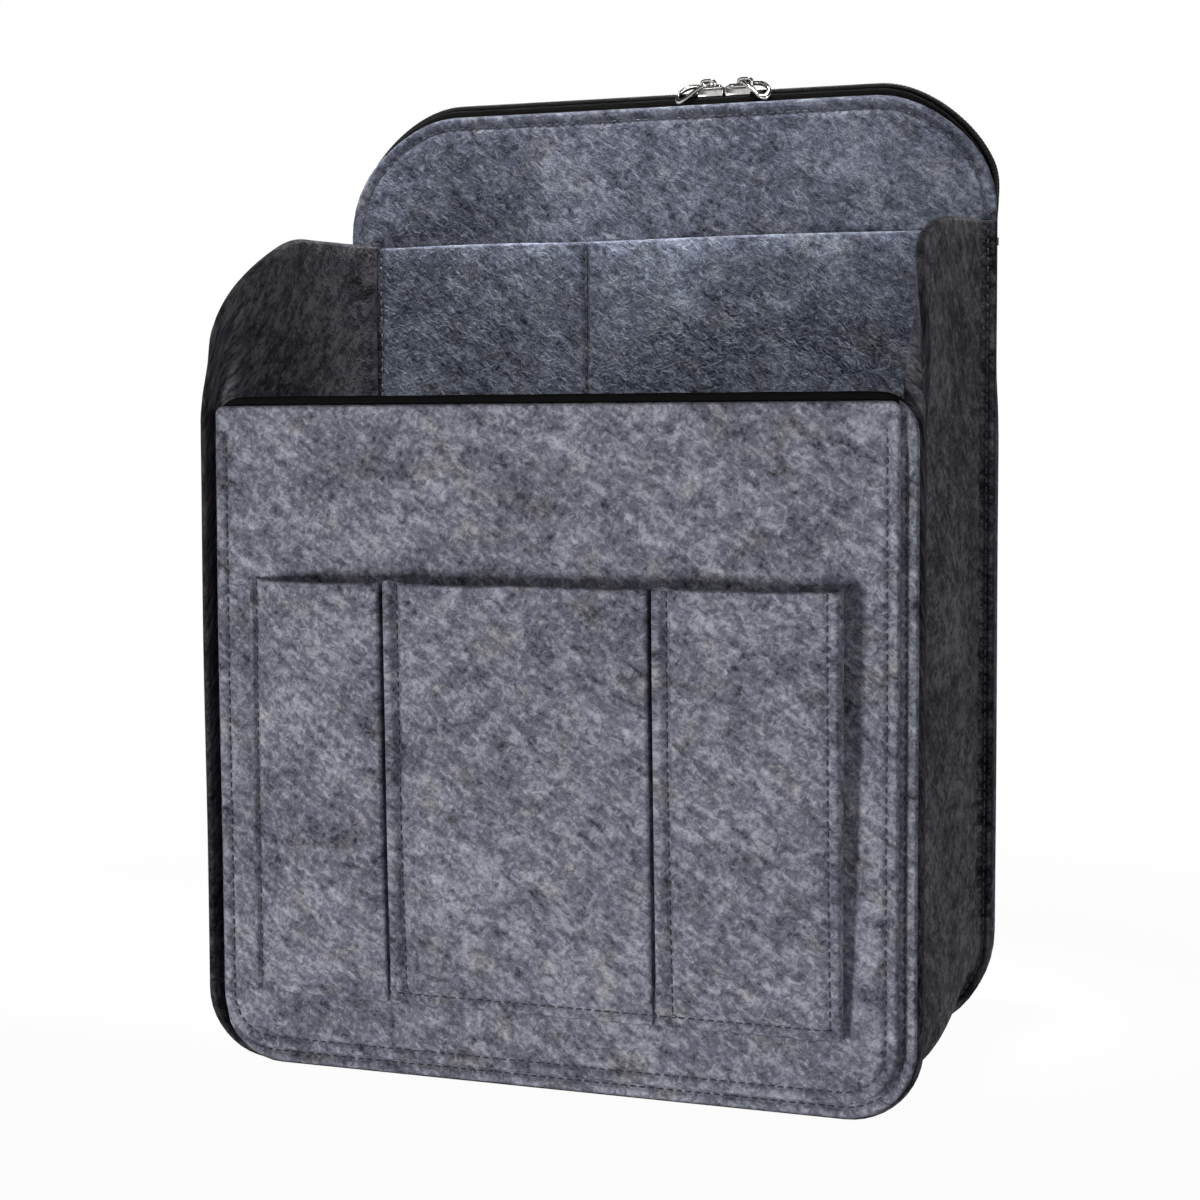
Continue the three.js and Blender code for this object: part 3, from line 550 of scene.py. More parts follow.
class Wire:
    """A shader socket written as a value: sums and products of wires add Math nodes."""

    def __init__(self, tree, socket=None):
        self.tree = tree
        self.socket = socket

    def node(self, kind, settings=None, sockets=None, output=0):
        """Add a node: its settings first, then its sockets' values or links; gives one output."""
        made = self.tree.nodes.new(kind)
        for name, value in (settings or {}).items():
            if name == "stops":
                ends = made.color_ramp.elements
                for element, (place, colour) in zip(ends, (value[0], value[-1])):
                    element.position = place
                    element.color = (*colour, 1)
                for place, colour in value[1:-1]:
                    made.color_ramp.elements.new(place).color = (*colour, 1)
            else:
                setattr(made, name, value)
        for name, value in (sockets or {}).items():
            if isinstance(value, Wire):
                self.tree.links.new(value.socket, made.inputs[name])
            else:
                made.inputs[name].default_value = value
        return Wire(self.tree, made.outputs[output]) if made.outputs else None

    def math(self, operation, first, second=0.0):
        return self.node("ShaderNodeMath", {"operation": operation}, {0: first, 1: second})

    def __add__(self, other):
        return self.math("ADD", self, other)

    def __radd__(self, other):
        return self.math("ADD", other, self)

    def __sub__(self, other):
        return self.math("SUBTRACT", self, other)

    def __rsub__(self, other):
        return self.math("SUBTRACT", other, self)

    def __mul__(self, other):
        return self.math("MULTIPLY", self, other)

    def __rmul__(self, other):
        return self.math("MULTIPLY", other, self)

    def __abs__(self):
        return self.math("ABSOLUTE", self)

    def most(self, other):
        return self.math("MAXIMUM", self, other)

    def ramp(self, low, high, at_low=0.0, at_high=1.0):
        """Map low to high smoothly onto two values."""
        return self.node("ShaderNodeMapRange", {"interpolation_type": "SMOOTHSTEP"}, {
            "Value": self, "From Min": low, "From Max": high, "To Min": at_low, "To Max": at_high})

    def moved(self, scale, shift=(0.0, 0.0, 0.0)):
        """This vector times one vector plus another."""
        sockets = {0: self, 1: scale, 2: shift}
        return self.node("ShaderNodeVectorMath", {"operation": "MULTIPLY_ADD"}, sockets)

    def noise(self, scale, detail=2.0, roughness=0.5, distortion=0.0, output="Fac"):
        return self.node("ShaderNodeTexNoise", {"noise_dimensions": "3D"}, {
            "Vector": self, "Scale": scale, "Detail": detail, "Roughness": roughness,
            "Distortion": distortion}, output)

    def waves(self, direction, profile, scale, distortion):
        settings = {"bands_direction": direction, "wave_profile": profile}
        return self.node("ShaderNodeTexWave", settings, {
            "Vector": self, "Scale": scale, "Distortion": distortion, "Detail": 1.0}, "Fac")

    def part(self, axis):
        """One of this vector's three numbers."""
        return self.node("ShaderNodeSeparateXYZ", {}, {"Vector": self}, axis)

    def mix(self, first, second, blend="MIX"):
        """One colour turning into another, or into their product, as this value goes from 0 to 1."""
        settings = {"data_type": "RGBA", "blend_type": blend}
        return self.node("ShaderNodeMix", settings, {0: self, 6: first, 7: second}, 2)

    def bumped(self, strength, distance):
        return self.node("ShaderNodeBump", {}, {"Height": self, "Strength": strength, "Distance": distance})


def blank_material(name):
    material = bpy.data.materials.new(name)
    material.use_nodes = True
    material.node_tree.nodes.clear()
    return material, Wire(material.node_tree)


def surface(wire, sockets):
    """Close a material with a Principled shader."""
    shader = wire.node("ShaderNodeBsdfPrincipled", {}, sockets)
    wire.node("ShaderNodeOutputMaterial", {}, {"Surface": shader})


def flat_place(wire):
    """Where a point lay in the flat cut, in millimetres."""
    spot = wire.node("ShaderNodeAttribute", {"attribute_name": "flat"}, {}, "Vector")
    return spot.moved((1 / MM, 1 / MM, 1 / MM))


def opaque(colour, share=1.0):
    """A colour for a socket, times a share."""
    return (*(share * part for part in colour), 1)


SHIFT_WAY = (1.0, 1.7, 0.6)
STROKE_RAMP = (0.52, 0.78)


def combed(place, turn, scale, shift):
    """A place turned and squeezed, so that a noise on it makes streaks."""
    sockets = {"Vector": place, "Angle": turn}
    turned = place.node("ShaderNodeVectorRotate", {"rotation_type": "Z_AXIS"}, sockets)
    return turned.moved(scale, [shift * part for part in SHIFT_WAY])


def strokes(place, turn, long, thin, shift):
    """Short strokes of fibre that run mostly one way, from 0 to 1."""
    return combed(place, turn, (1 / long, 1 / thin, 1 / thin), shift).noise(1.0, 1.0).ramp(*STROKE_RAMP)


# Turn, length, thickness and shift of the felt's strokes
PALE_STROKES = ((0.45, 6.0, 1.0, 3.1), (0.95, 5.0, 0.95, 7.7), (1.9, 4.5, 1.0, 12.3), (2.8, 4.5, 0.95, 19.1))
DARK_STROKES = ((0.7, 4.0, 1.15, 31.0), (2.3, 3.5, 1.15, 43.0))
# Scale, detail, roughness and distortion of the felt's noises
FELT_NOISES = {"tuft": (0.46, 3.0, 0.58, 0.4), "clump": (0.13, 3.0, 0.6, 0.6), "cloud": (0.028, 2.0),
               "grain": (1.25, 2.0, 0.6), "warmth": (0.085, 2.0, 0.55), "streak": (1.0, 2.5, 0.6, 0.3)}
DRIFT_NOISE = (0.33, 2.0, 0.6, 0.0, "Color")
CURL = (3.0, 3.0, 2.0)  # how far the drift bends the strokes
STREAKS = (0.62, (0.11, 0.42, 0.42), 5.0)
TONE_SHARES = {"tuft": 0.82, "streak": 0.78, "clump": 0.70, "cloud": 0.45, "grain": 0.28}
TONE_MIDDLE = 0.465
PALE_SHARE, DARK_SHARE = 0.17, 0.16
GREY_STOPS = {"dark_fibre": 0.10, "colour": 0.47, "pale_fibre": 0.92}
WARM_DYE = (1.02, 0.98, 0.89, 1)
WARM_RAMP = (0.50, 0.72)
CUT_RAMP = (0.4 * FELT, 0.49 * FELT, 1.0, 0.0)  # from the felt's middle out to its faces


def felt_material(name, dye_and_painted_shade, cut, contrast=1.0, drawn=1.0):
    """Mottled felt: greys times a tint, which carries painted shade for the back panel, the slip pocket and
    the rear panel; cut edges times a share; its pattern drawn out sideways.
    """
    values = felt_values()
    material, wire = blank_material(name)
    flat = flat_place(wire)
    place = flat.moved((1.0, 1.0 / drawn, 1.0))
    curl = place.noise(*DRIFT_NOISE).moved(CURL, [-part / 2 for part in CURL])
    bent = place.node("ShaderNodeVectorMath", {"operation": "ADD"}, {0: place, 1: curl})
    grounds = {"streak": combed(bent, *STREAKS)}
    noises = {key: grounds.get(key, place).noise(*noise) for key, noise in FELT_NOISES.items()}
    pale, *others = [strokes(bent, *stroke) for stroke in PALE_STROKES]
    for stroke in others:
        pale = pale.most(stroke)
    dark = strokes(bent, *DARK_STROKES[0]).most(strokes(bent, *DARK_STROKES[1]))
    tone = pale * PALE_SHARE - dark * DARK_SHARE
    for key, share in TONE_SHARES.items():
        tone = tone + (noises[key] - 0.5) * share
    tone = tone * contrast + TONE_MIDDLE
    # The tint multiplies every grey; on the back panel, slip pocket and rear panel felts it is painted shade.
    stops = [(stop, [part * share for part, share in zip(getattr(values, grey), dye_and_painted_shade)])
             for grey, stop in GREY_STOPS.items()]
    shade = tone.node("ShaderNodeValToRGB", {"stops": stops}, {"Fac": tone})
    shade = noises["warmth"].ramp(*WARM_RAMP).mix(shade, WARM_DYE, "MULTIPLY")
    layer = flat.part("Z")
    depth = layer.math("PINGPONG", layer, LAYER_STEP / 2)
    at_cut = depth.ramp(*CUT_RAMP)
    shade = at_cut.mix(shade, (cut, cut, cut, 1), "MULTIPLY")
    nap = noises["tuft"] * 0.5 + pale * 0.3 - dark * 0.2 + noises["grain"] * 0.4 + noises["streak"] * 0.3
    surface(wire, {
        "Base Color": shade, "Roughness": tone.ramp(0.1, 0.9, 0.98, 0.88), "Specular IOR Level": 0.04,
        "Sheen Weight": 0.06, "Sheen Roughness": 0.55, "Normal": nap.bumped(0.6, 0.0007)})
    return material


def black_tape():
    """Woven tape: slanting lanes over fine ribs, worn a little grey."""
    colour = bpy.context.scene.organizer_zip.tape
    material, wire = blank_material("black_woven_tape")
    place = flat_place(wire)
    lanes = place.moved((1.0, 1.0, 0.0)).waves("DIAGONAL", "TRI", 0.62, 0.35)
    ribs = place.waves("Y", "SIN", 0.55, 0.2)
    dust = place.noise(0.35, 3.0, 0.6)
    weave = lanes * 0.6 + ribs * 0.4
    worn = weave * 0.45 + dust.ramp(0.5, 0.8) * 0.25
    surface(wire, {
        "Base Color": worn.mix(opaque(colour), opaque(colour, 2.2)),
        "Roughness": dust.ramp(0.3, 0.7, 0.62, 0.78), "Specular IOR Level": 0.03,
        "Normal": weave.bumped(0.5, 0.00025)})
    return material


def black_coil():
    """Moulded nylon with scuffed patches."""
    colour = bpy.context.scene.organizer_zip.coil
    material, wire = blank_material("black_nylon_coil")
    place = flat_place(wire)
    scuff = place.noise(0.5, 3.0, 0.6)
    surface(wire, {
        "Base Color": scuff.ramp(0.45, 0.8).mix(opaque(colour), opaque(colour, 2.0)),
        "Roughness": scuff.ramp(0.3, 0.75, 0.42, 0.60), "Specular IOR Level": 0.12,
        "Normal": place.noise(3.0, 2.0).bumped(0.15, 0.0001)})
    return material


def polished_nickel():
    """Bright plate with a haze and fine scratches."""
    colour = bpy.context.scene.organizer_zip.nickel
    material, wire = blank_material("polished_nickel")
    place = flat_place(wire)
    haze = place.noise(0.55, 3.0, 0.6)
    scratch = place.moved((0.5, 7.0, 7.0)).noise(1.0, 2.0, 0.6)
    surface(wire, {
        "Base Color": haze.ramp(0.35, 0.75).mix(opaque(colour), opaque(colour, 0.72)), "Metallic": 1.0,
        "Roughness": haze.ramp(0.3, 0.8, 0.08, 0.20) + scratch.ramp(0.55, 0.75) * 0.06,
        "Normal": scratch.bumped(0.08, 0.00005)})
    return material


def grey_thread():
    """Twisted sewing thread with a little fuzz."""
    colour = bpy.context.scene.organizer_stitch.colour
    material, wire = blank_material("grey_thread")
    place = flat_place(wire)
    ply = place.waves("DIAGONAL", "SIN", 1.1, 0.3)
    fuzz = place.noise(1.5, 3.0, 0.6)
    surface(wire, {
        "Base Color": (ply * 0.6 + fuzz * 0.4).mix(opaque(colour), opaque(colour, 1.9)),
        "Roughness": fuzz.ramp(0.3, 0.7, 0.60, 0.82), "Specular IOR Level": 0.3,
        "Sheen Weight": 0.1, "Normal": ply.bumped(0.5, 0.00012)})
    return material


FINISHES = {
    "grey_felt": lambda: felt_material("grey_felt", (1, 1, 1), 0.8),
    # painted shade: a darker copy of the grey felt for the slip pocket and the rear panel
    "inner_felt": lambda: felt_material("inner_felt", felt_values().inner_painted_shade, 0.7),
    # painted shade: a darker copy of the grey felt for the back panel
    "back_felt": lambda: felt_material("back_felt", felt_values().back_painted_shade, 0.7),
    "gusset_felt": lambda: felt_material("gusset_felt", felt_values().gusset_tint, 0.5, 1.5, 1.6),
    "black_woven_tape": black_tape, "black_nylon_coil": black_coil,
    "polished_nickel": polished_nickel, "grey_thread": grey_thread,
}


def finish(name):
    """A material of the organizer, made when it is first asked for."""
    return bpy.data.materials.get(name) or FINISHES[name]()


# Flat panels

ARC_STEPS = 12
SIDE_STEPS = 22
SMALLEST_CORNER = 1.0


def panel_ring(half, low, high, low_radius, high_radius, inset):
    """Points round a rounded rectangle that is shrunk by an inset, always as many."""
    arcs = []
    corners = ((1, low, low_radius, -90), (1, high, high_radius, 0),
               (-1, high, high_radius, 90), (-1, low, low_radius, 180))
    for side, level, radius, start in corners:
        bend = max(radius - inset, SMALLEST_CORNER)
        centre_x = side * (half - inset - bend)
        centre_z = level + (inset + bend) * (1 if level == low else -1)
        angles = np.radians(start + np.linspace(0, 90, ARC_STEPS + 1))
        arcs.append(np.stack([centre_x + bend * np.cos(angles), centre_z + bend * np.sin(angles)], axis=1))
    points = []
    for arc, following in zip(arcs, arcs[1:] + arcs[:1]):
        points.append(arc)
        t = np.linspace(0, 1, SIDE_STEPS + 2)[1:-1, None]
        points.append(lerp(arc[-1], following[0], t))
    return np.concatenate(points)


INNER_INSETS = (7.5, 10.5, 15, 21, 29, 39, 51, 65, 81, 99)
RING_GAP = 0.5
SEAM_GAP = 0.7


def panel_rings(outline, seam):
    """Shrinking outlines, close together at the edge and beside a seam; gives them and their insets."""
    edge = felt_mm("cut_edge")
    insets = list(EDGE_STEPS * edge) + [edge + RING_GAP]
    insets += [seam + step for step in SEAM_STEPS if seam + step > edge + SEAM_GAP]
    insets += [inset for inset in INNER_INSETS if inset > insets[-1] + RING_GAP]
    return np.array([panel_ring(*outline, inset) for inset in insets]), np.array(insets)[:, None]


def rounded_area(width, height, low_radius, high_radius):
    """Area of a rounded rectangle, in square metres from millimetres."""
    lost = (2 - math.pi / 2) * (low_radius ** 2 + high_radius ** 2)
    return (width * height - lost) * MM * MM


def cut_panel(node, felt, outline, seam, pull, sewn, seat, shift=0.0):
    """A panel with a round cut edge, whose seam pulls its face in, or its rear where pull is negative.

    The outline is half its width, its lowest and highest level and the radii there. The seam is a distance
    from the edge, sewn(z) says at which levels it runs, and seat(x, z) is the depth of the face.
    """
    rings, insets = panel_rings(outline, seam)
    rings[..., 0] += shift
    x, z = rings[..., 0], rings[..., 1]
    pulled = pull * seam_depth() * valley(insets - seam) * sewn(z)
    face = seat(x, z) + np.maximum(pulled, 0)
    rear = seat(x, z) + FELT + np.minimum(pulled, 0)
    middle, ease = (face + rear) / 2, border_ease(insets)
    shell = closed_plate(rings, lerp(middle, face, ease), lerp(middle, rear, ease), LAYERS[node])
    piece = make_piece(f"{node}_felt", shell, finish(felt), [node])
    half, low, high, *radii = outline
    width, height = 2 * half, high - low
    width * MM
    height * MM
    rounded_area(width, height, *radii)


class ORGANIZER_OT_flat_panels(bpy.types.Operator):
    """Cut the front panel, the front wall and the back panel, with their seams pulled in"""

    bl_idname = "organizer.flat_panels"
    bl_label = "Flat Panels"

    def execute(self, context):
        outline = (FACING_HALF, PANEL_LOW[2], FRONT_TOP, FACING_CORNER, FACING_TOP_CORNER)
        cut_panel("front_panel", "grey_felt", outline, FACING_SEAM, 1.0,
                  lambda z: smooth(FRONT_TOP - FACING_SEAM - z, *FACING_SEAM_END),
                  front_sway)
        outline = (RIM_HALF - (RIM_LEFT + RIM_RIGHT) / 2, RIM_LOW[2] + RIM_FOOT, RIM_HIGH[2],
                   RIM_CORNER - RIM_FOOT, RIM_TOP_CORNER)
        cut_panel("front_wall", "grey_felt", outline, RIM_HALF - RIM_RIGHT - FACING_HALF - RIM_SEAM, 1.0,
                  lambda z: smooth(FRONT_TOP - RIM_TOP_CORNER - z, *RIM_SEAM_END),
                  swayed(rim_sway, RIM_LOW[1]), (RIM_LEFT - RIM_RIGHT) / 2)
        outline = (BACK_HALF, BACK_LOW[2], BACK_TOP, BACK_FOOT_CORNER, BACK_CORNER)
        # The back panel wears the darker copy of the felt that carries painted shade
        cut_panel("back_panel", "back_felt", outline, ZIP_SEAM, ZIP_SEAM_PULL,
                  lambda z: smooth(z, *ZIP_SEAM_END), swayed(back_sway, BACK_LOW[1]))
        return {"FINISHED"}


def compartment_room(x, z):
    """Room behind the back panel, sewn flat at the sides and the foot and open at the top."""
    from_side = smooth(BACK_HALF - np.abs(x), 0, REAR_RAMP)
    opened = smooth(z, ZIP_START - REAR_OPENING, ZIP_START)
    room = REAR_HIGH[1] - FELT - REAR_LOW[1]
    return room * smooth(z, 0, REAR_RAMP) * lerp(from_side, 1, opened)


class ORGANIZER_OT_rear_panel(bpy.types.Operator):
    """Form the dished panel of the rear compartment"""

    bl_idname = "organizer.rear_panel"
    bl_label = "Rear Panel"

    def execute(self, context):
        outline = (BACK_HALF, REAR_LOW[2], BACK_TOP, BACK_FOOT_CORNER, BACK_CORNER)
        # The rear panel wears the darker copy of the felt that carries painted shade
        cut_panel("rear_panel", "inner_felt", outline, ZIP_SEAM, -1.0, lambda z: smooth(z, *REAR_SEAM_END),
                  lambda x, z: REAR_LOW[1] + compartment_room(x, z) + back_sway(x, z))
        return {"FINISHED"}


# Side gusset

LIP_SPAN = np.array([0.0, 0.03, 0.1, 0.24, 0.45, 1.0])
FLANGE_SPAN = np.array([0.0, 0.02, 0.06, 0.13, 0.22, 0.34, 0.46, 0.56, 0.66, 0.78, 1.0])
GUSSET_SPANS = (LIP_SPAN, np.linspace(0, 1, 4), np.linspace(0, 1, 25), 1 - FLANGE_SPAN[::-1])
LIPPED_Y = FRONT_FLANGE_Y + RIM_CURL
BACK_CORNERS = [(BACK_FLANGE_Y, 0), (BACK_FLANGE_Y, FLANGE_REACH)]
LIPPED_SECTION = bent_line(
    [(LIP_Y, LIP_OUT), (LIPPED_Y, LIP_OUT), (LIPPED_Y, 0), *BACK_CORNERS], (FLANGE_SOFT,) * 3, GUSSET_SPANS)
FOLDED_SECTION = bent_line(
    [*((FRONT_FLANGE_Y, out) for out in (FLANGE_REACH, FLANGE_REACH - FLANGE_TIP, 0)), *BACK_CORNERS],
    (TIP_SOFT, FLANGE_SOFT, FLANGE_SOFT), GUSSET_SPANS)
SECTION_RUN = along(LIPPED_SECTION)


def flared_section():
    """Section through a wall whose front flange has opened into a flare: depths and distances out."""
    straight = len(SECTION_RUN) // 2
    start = LIPPED_SECTION[straight, 0] - SECTION_RUN[straight]
    left = np.clip(1 - SECTION_RUN / FLARE_LENGTH, 0, 1) ** 2
    flared = np.stack([start + SECTION_RUN + FLARE_BACK * left, FLARE * left], axis=1)
    return np.where((SECTION_RUN < FLARE_LENGTH)[:, None], flared, LIPPED_SECTION)


FLARED_SECTION = flared_section()
EDGE_Y = FLARED_SECTION[0, 0]


def gusset_section(lipped, opened, offset):
    """A face of the wall's section, 0 its middle; lipped and opened turn the folded form into those two."""
    line = lerp(lerp(FOLDED_SECTION, LIPPED_SECTION, lipped), FLARED_SECTION, opened)
    way = np.gradient(line, SECTION_RUN, axis=0)
    way /= np.linalg.norm(way, axis=1)[:, None]
    return line + offset * np.stack([-way[:, 1], way[:, 0]], axis=1)


def gusset_bend(y):
    t = np.clip((y - FRONT_FLANGE_Y) / (BACK_FLANGE_Y - FRONT_FLANGE_Y), 0, 1)
    return lerp(RIM_CORNER, BACK_FOOT_CORNER, t) - FLANGE_REACH - BEND_DIP * np.sin(math.pi * t)


def wall_top(y):
    short = np.clip(1 - (y - EDGE_Y) / WALL_CORNER_DEPTH, 0, 1)
    return WALL_TOP - WALL_CORNER_HEIGHT * (1 - np.sqrt(1 - short * short))


def wall_shift(y, z, out, side):
    """How far a wall leans in at its front corner and bellies in before its back fold, less its sway."""
    lean = WALL_LEAN * valley(y - LEAN_DEPTH, LEAN_REACH) * smooth(z, *LEAN_LEVELS)
    tuck = WALL_TUCK[side] * smooth(y, *TUCK_DEPTHS) * (1 - smooth(out, *TUCK_FOLD)) * smooth(z, *TUCK_LEVELS)
    sway = WALL_SWAY * smooth(z, *SWAY_LEVELS) * (1 - smooth(y, *SWAY_DEPTHS))
    return lean + tuck - side * sway


def gusset_wander(x, y, z, side):
    """Soft wander of the walls, and the sway of the panels that the flanges are sewn to."""
    seed, length = WALL_RIPPLE
    free = smooth(y - FRONT_FLANGE_Y, *FREE_SPAN) * smooth(BACK_FLANGE_Y - y, *FREE_SPAN)
    x = x + side * WALL_WAVE * felt_mm("wave") * ripple(y, z, seed + side, length) * free
    at_front = (1 - smooth(y, *FRONT_SEWN_DEPTHS)) * (1 - smooth(z, *FRONT_SEWN_LEVELS))
    at_back = smooth(y, *BACK_SEWN_DEPTHS)
    return x, y + front_sway(x, z) * at_front + back_sway(x, z) * at_back, z


def gusset_face(offset):
    """Grid of one face of the gusset, from the left wall's top round to the right wall's top."""
    front_base = FLANGE_REACH + gusset_bend(FRONT_FLANGE_Y)
    front_length = wall_top(EDGE_Y) - front_base
    drops = places(front_length, 6.0)
    drops = drops[drops < front_length - felt_mm("cut_edge")]

    def wall_row(side, drop):
        t = 1 - drop / front_length
        level = lerp(front_base, wall_top(EDGE_Y), t)
        y, out = gusset_section(side < 0, smooth(level, FLARE_START, FLARE_FULL), offset).T
        depth = FLARED_SECTION[:, 0]
        top = wall_top(depth) + WALL_RISE[side] * smooth(depth, *RISE_DEPTHS)
        z = lerp(FLANGE_REACH + gusset_bend(y), top, t)
        x = side * (WALL_MIDDLE + out - wall_shift(y, z, out, side))
        return np.stack(gusset_wander(x, y, z, side), axis=-1)

    def corner_row(side, angle):
        y, out = gusset_section(math.cos(angle) ** 2 * (side < 0), 0.0, offset).T
        bend = gusset_bend(y)
        x = side * (WALL_MIDDLE - bend + (bend + out) * math.cos(angle))
        z = FLANGE_REACH + bend - (bend + out) * math.sin(angle)
        return np.stack(gusset_wander(x, y, z, side), axis=-1)

    def half(side):
        rows = [wall_row(side, drop) for drop in drops]
        return rows + [corner_row(side, angle) for angle in np.linspace(0, math.pi / 2, ARC_STEPS + 1)]

    left, right = half(-1), half(1)
    bottom = [lerp(left[-1], right[-1], t) for t in np.linspace(0, 1, SIDE_STEPS)[1:-1]]
    between = np.full(2 * (ARC_STEPS + 1) + len(bottom), front_length)
    return np.array(left + bottom + right[::-1]), np.concatenate([drops, between, drops[::-1]])


class ORGANIZER_OT_side_gusset(bpy.types.Operator):
    """Fold the strip that makes the left wall, the bottom and the right wall"""

    bl_idname = "organizer.side_gusset"
    bl_label = "Side Gusset"

    def execute(self, context):
        outer, from_top = gusset_face(FELT / 2)
        inner, _ = gusset_face(-FELT / 2)
        middle = (outer + inner) / 2
        seam_out = BACK_HALF - FLANGE_SEAM - WALL_MIDDLE
        from_back = SECTION_RUN[-1] - SECTION_RUN
        outer[..., 1] += seam_depth() * valley(from_back - (FLANGE_REACH - seam_out))
        run = along(middle[:, middle.shape[1] // 2])
        ease = sheet_ease(from_top, from_ends(SECTION_RUN))
        shell = closed_sheet(outer, inner, ease, flat_grid(run, SECTION_RUN), LAYERS["side_gusset"])
        piece = make_piece("side_gusset_felt", shell, finish("gusset_felt"), ["side_gusset"])
        return {"FINISHED"}


# Front pockets

POCKET_BASE_Y = -CLEAR - FELT / 2
POCKET_ROOM = POCKET_BASE_Y - FELT / 2 - POCKETS_LOW[1]


def pocket_height(z):
    """Level on the pockets, from 0 at their foot to 1 at their mouths."""
    return (z - POCKETS_LOW[2]) / (POCKETS_HIGH[2] - POCKETS_LOW[2])


def pocket_room(z):
    return lerp(POCKET_FOOT, POCKET_ROOM, 1 - (1 - pocket_height(z)) ** 2)


FOOT_SEAM_Z = POCKETS_LOW[2] + POCKET_SEAM
HEM_SEAM_X = POCKETS_LOW[0] + POCKET_HEM / 2
MIDDLE_FOLD = FIRST_PLEAT + PLEAT
FOLD_SEAMS = {
    "middle": MIDDLE_FOLD + POCKET_SEAM, "right": SECOND_PLEAT + POCKET_SEAM,
    "end": POCKETS_HIGH[0] - POCKET_SEAM,
}
FOLD_PULLS = {"middle": 2.6, "right": 2.3, "end": 1.0}
FOLD_WIDTH = 1.4
MOST_PULL = 2.6
HEM_PULL = 1.8
CREASE_PULL, CREASE_WIDTH = 0.5, 0.7
POCKET_END = POCKETS_HIGH[0] - FELT / 2
POCKET_FACES = ((POCKETS_LOW[0] + POCKET_HEM, FIRST_PLEAT), (MIDDLE_FOLD, SECOND_PLEAT - PLEAT),
                (SECOND_PLEAT, POCKET_END))
POCKET_MARKS = ((), (POCKET_SEAM, PRESSED_CREASE), (POCKET_SEAM, FOLD_SEAMS["end"] - SECOND_PLEAT))
FACE_EDGE = 0.4
OUTSIDE_SOFT = (2.5, 1.3, 0.4, 0.4, 2.6, 1.5, 0.4, 0.4, 2.6, 1.7)  # roundings of the strip's folds
INSIDE_SOFT = (2.5, 0.5, 1.6, 1.6, 0.5, 0.5, 1.6, 1.6, 0.5, 0.5)
WIDEST_FACE = 90.0
LEAST_BELLY = 0.6  # of a narrow face, as a share of the widest one's
BELLY_RISE = 0.72  # share of a half wave up the pockets' height
MOUTH_DEPTH = 18.0  # how far below the mouths their wander and loops reach
MOUTH_WANDER = 0.35
LOOP_RISE, LOOP_X, LOOP_WIDTH = 1.3, 1.5, 3.5  # of the folds' tops
LOOPS = {MIDDLE_FOLD: 1.0, SECOND_PLEAT: 0.7}


def pocket_spans():
    """Fractions of each run of the pleated strip, close together at its seams."""
    leg = np.linspace(0, 1, 4)
    ends = np.linspace(0, 1, 3)
    hem = places(POCKET_HEM, 1.0)[:-1] / POCKET_HEM
    left, middle, right = [places(high - low, 4.0, marks, FACE_EDGE) / (high - low)
                           for (low, high), marks in zip(POCKET_FACES, POCKET_MARKS)]
    last = 1 - places(POCKET_ROOM, 1.0)[::-1] / POCKET_ROOM
    return (hem, left, leg, ends, leg, middle, leg, ends, leg, right, last)


def pocket_line(z, offset, spans):
    """Section through the pleated strip at a level, as places along X and depth."""
    base, face = POCKET_BASE_Y, POCKET_BASE_Y - pocket_room(z)
    corners = [(POCKETS_LOW[0], base), (POCKETS_LOW[0] + POCKET_HEM, base)]
    for pleat, fold in ((FIRST_PLEAT, MIDDLE_FOLD), (SECOND_PLEAT - PLEAT, SECOND_PLEAT)):
        corners += [(pleat, face), (pleat, base), (fold, base), (fold, face)]
    corners += [(POCKET_END, face), (POCKET_END, -CLEAR)]
    softness = OUTSIDE_SOFT if offset < 0 else INSIDE_SOFT
    return bent_line(offset_corners(np.array(corners), offset), softness, spans)


def share_across(x, low, high):
    return np.clip((x - low) / (high - low), 0, 1)


def pocket_belly(x, z):
    """How far the pocket faces belly out between their folds."""
    rise = np.sin(math.pi * np.clip(BELLY_RISE * pocket_height(z), 0, 1)) ** 1.5
    belly = sum(np.sin(math.pi * share_across(x, *face)) ** 1.2
                * lerp(LEAST_BELLY, 1.0, (face[1] - face[0]) / WIDEST_FACE) for face in POCKET_FACES)
    return felt_mm("bulge") * belly * rise


def pocket_gape(x, z):
    """How far the left pocket's mouth stands off beyond its slanting face."""
    t = share_across(x, *POCKET_FACES[0])
    return POCKET_ROOM * (1 - (1 - t) ** 6 - t) * np.clip(pocket_height(z), 0, 1) ** 3


def pocket_pull(x, z):
    """How far seams and the pressed crease pull the pockets' faces in, and how far the hem is pulled in."""
    folds = sum(pull * valley(x - FOLD_SEAMS[seam], FOLD_WIDTH) for seam, pull in FOLD_PULLS.items())
    crease = CREASE_PULL * valley(x - MIDDLE_FOLD - PRESSED_CREASE, CREASE_WIDTH)
    faces = np.clip(folds + crease + valley(z - FOOT_SEAM_Z), 0, MOST_PULL)
    hem = HEM_PULL * valley(x - HEM_SEAM_X) * (x < HEM_SEAM_X + 2)
    return seam_depth() * faces, seam_depth() * hem


def pocket_lift(x, z):
    """How far the mouths' edge wanders up and down, and its folds loop up."""
    loops = sum(share * valley(x - fold - LOOP_X, LOOP_WIDTH) for fold, share in LOOPS.items())
    near_mouth = smooth(z, POCKETS_HIGH[2] - MOUTH_DEPTH, POCKETS_HIGH[2])
    return (MOUTH_WANDER * ripple(x, z, *MOUTH_RIPPLE) + LOOP_RISE * loops) * near_mouth


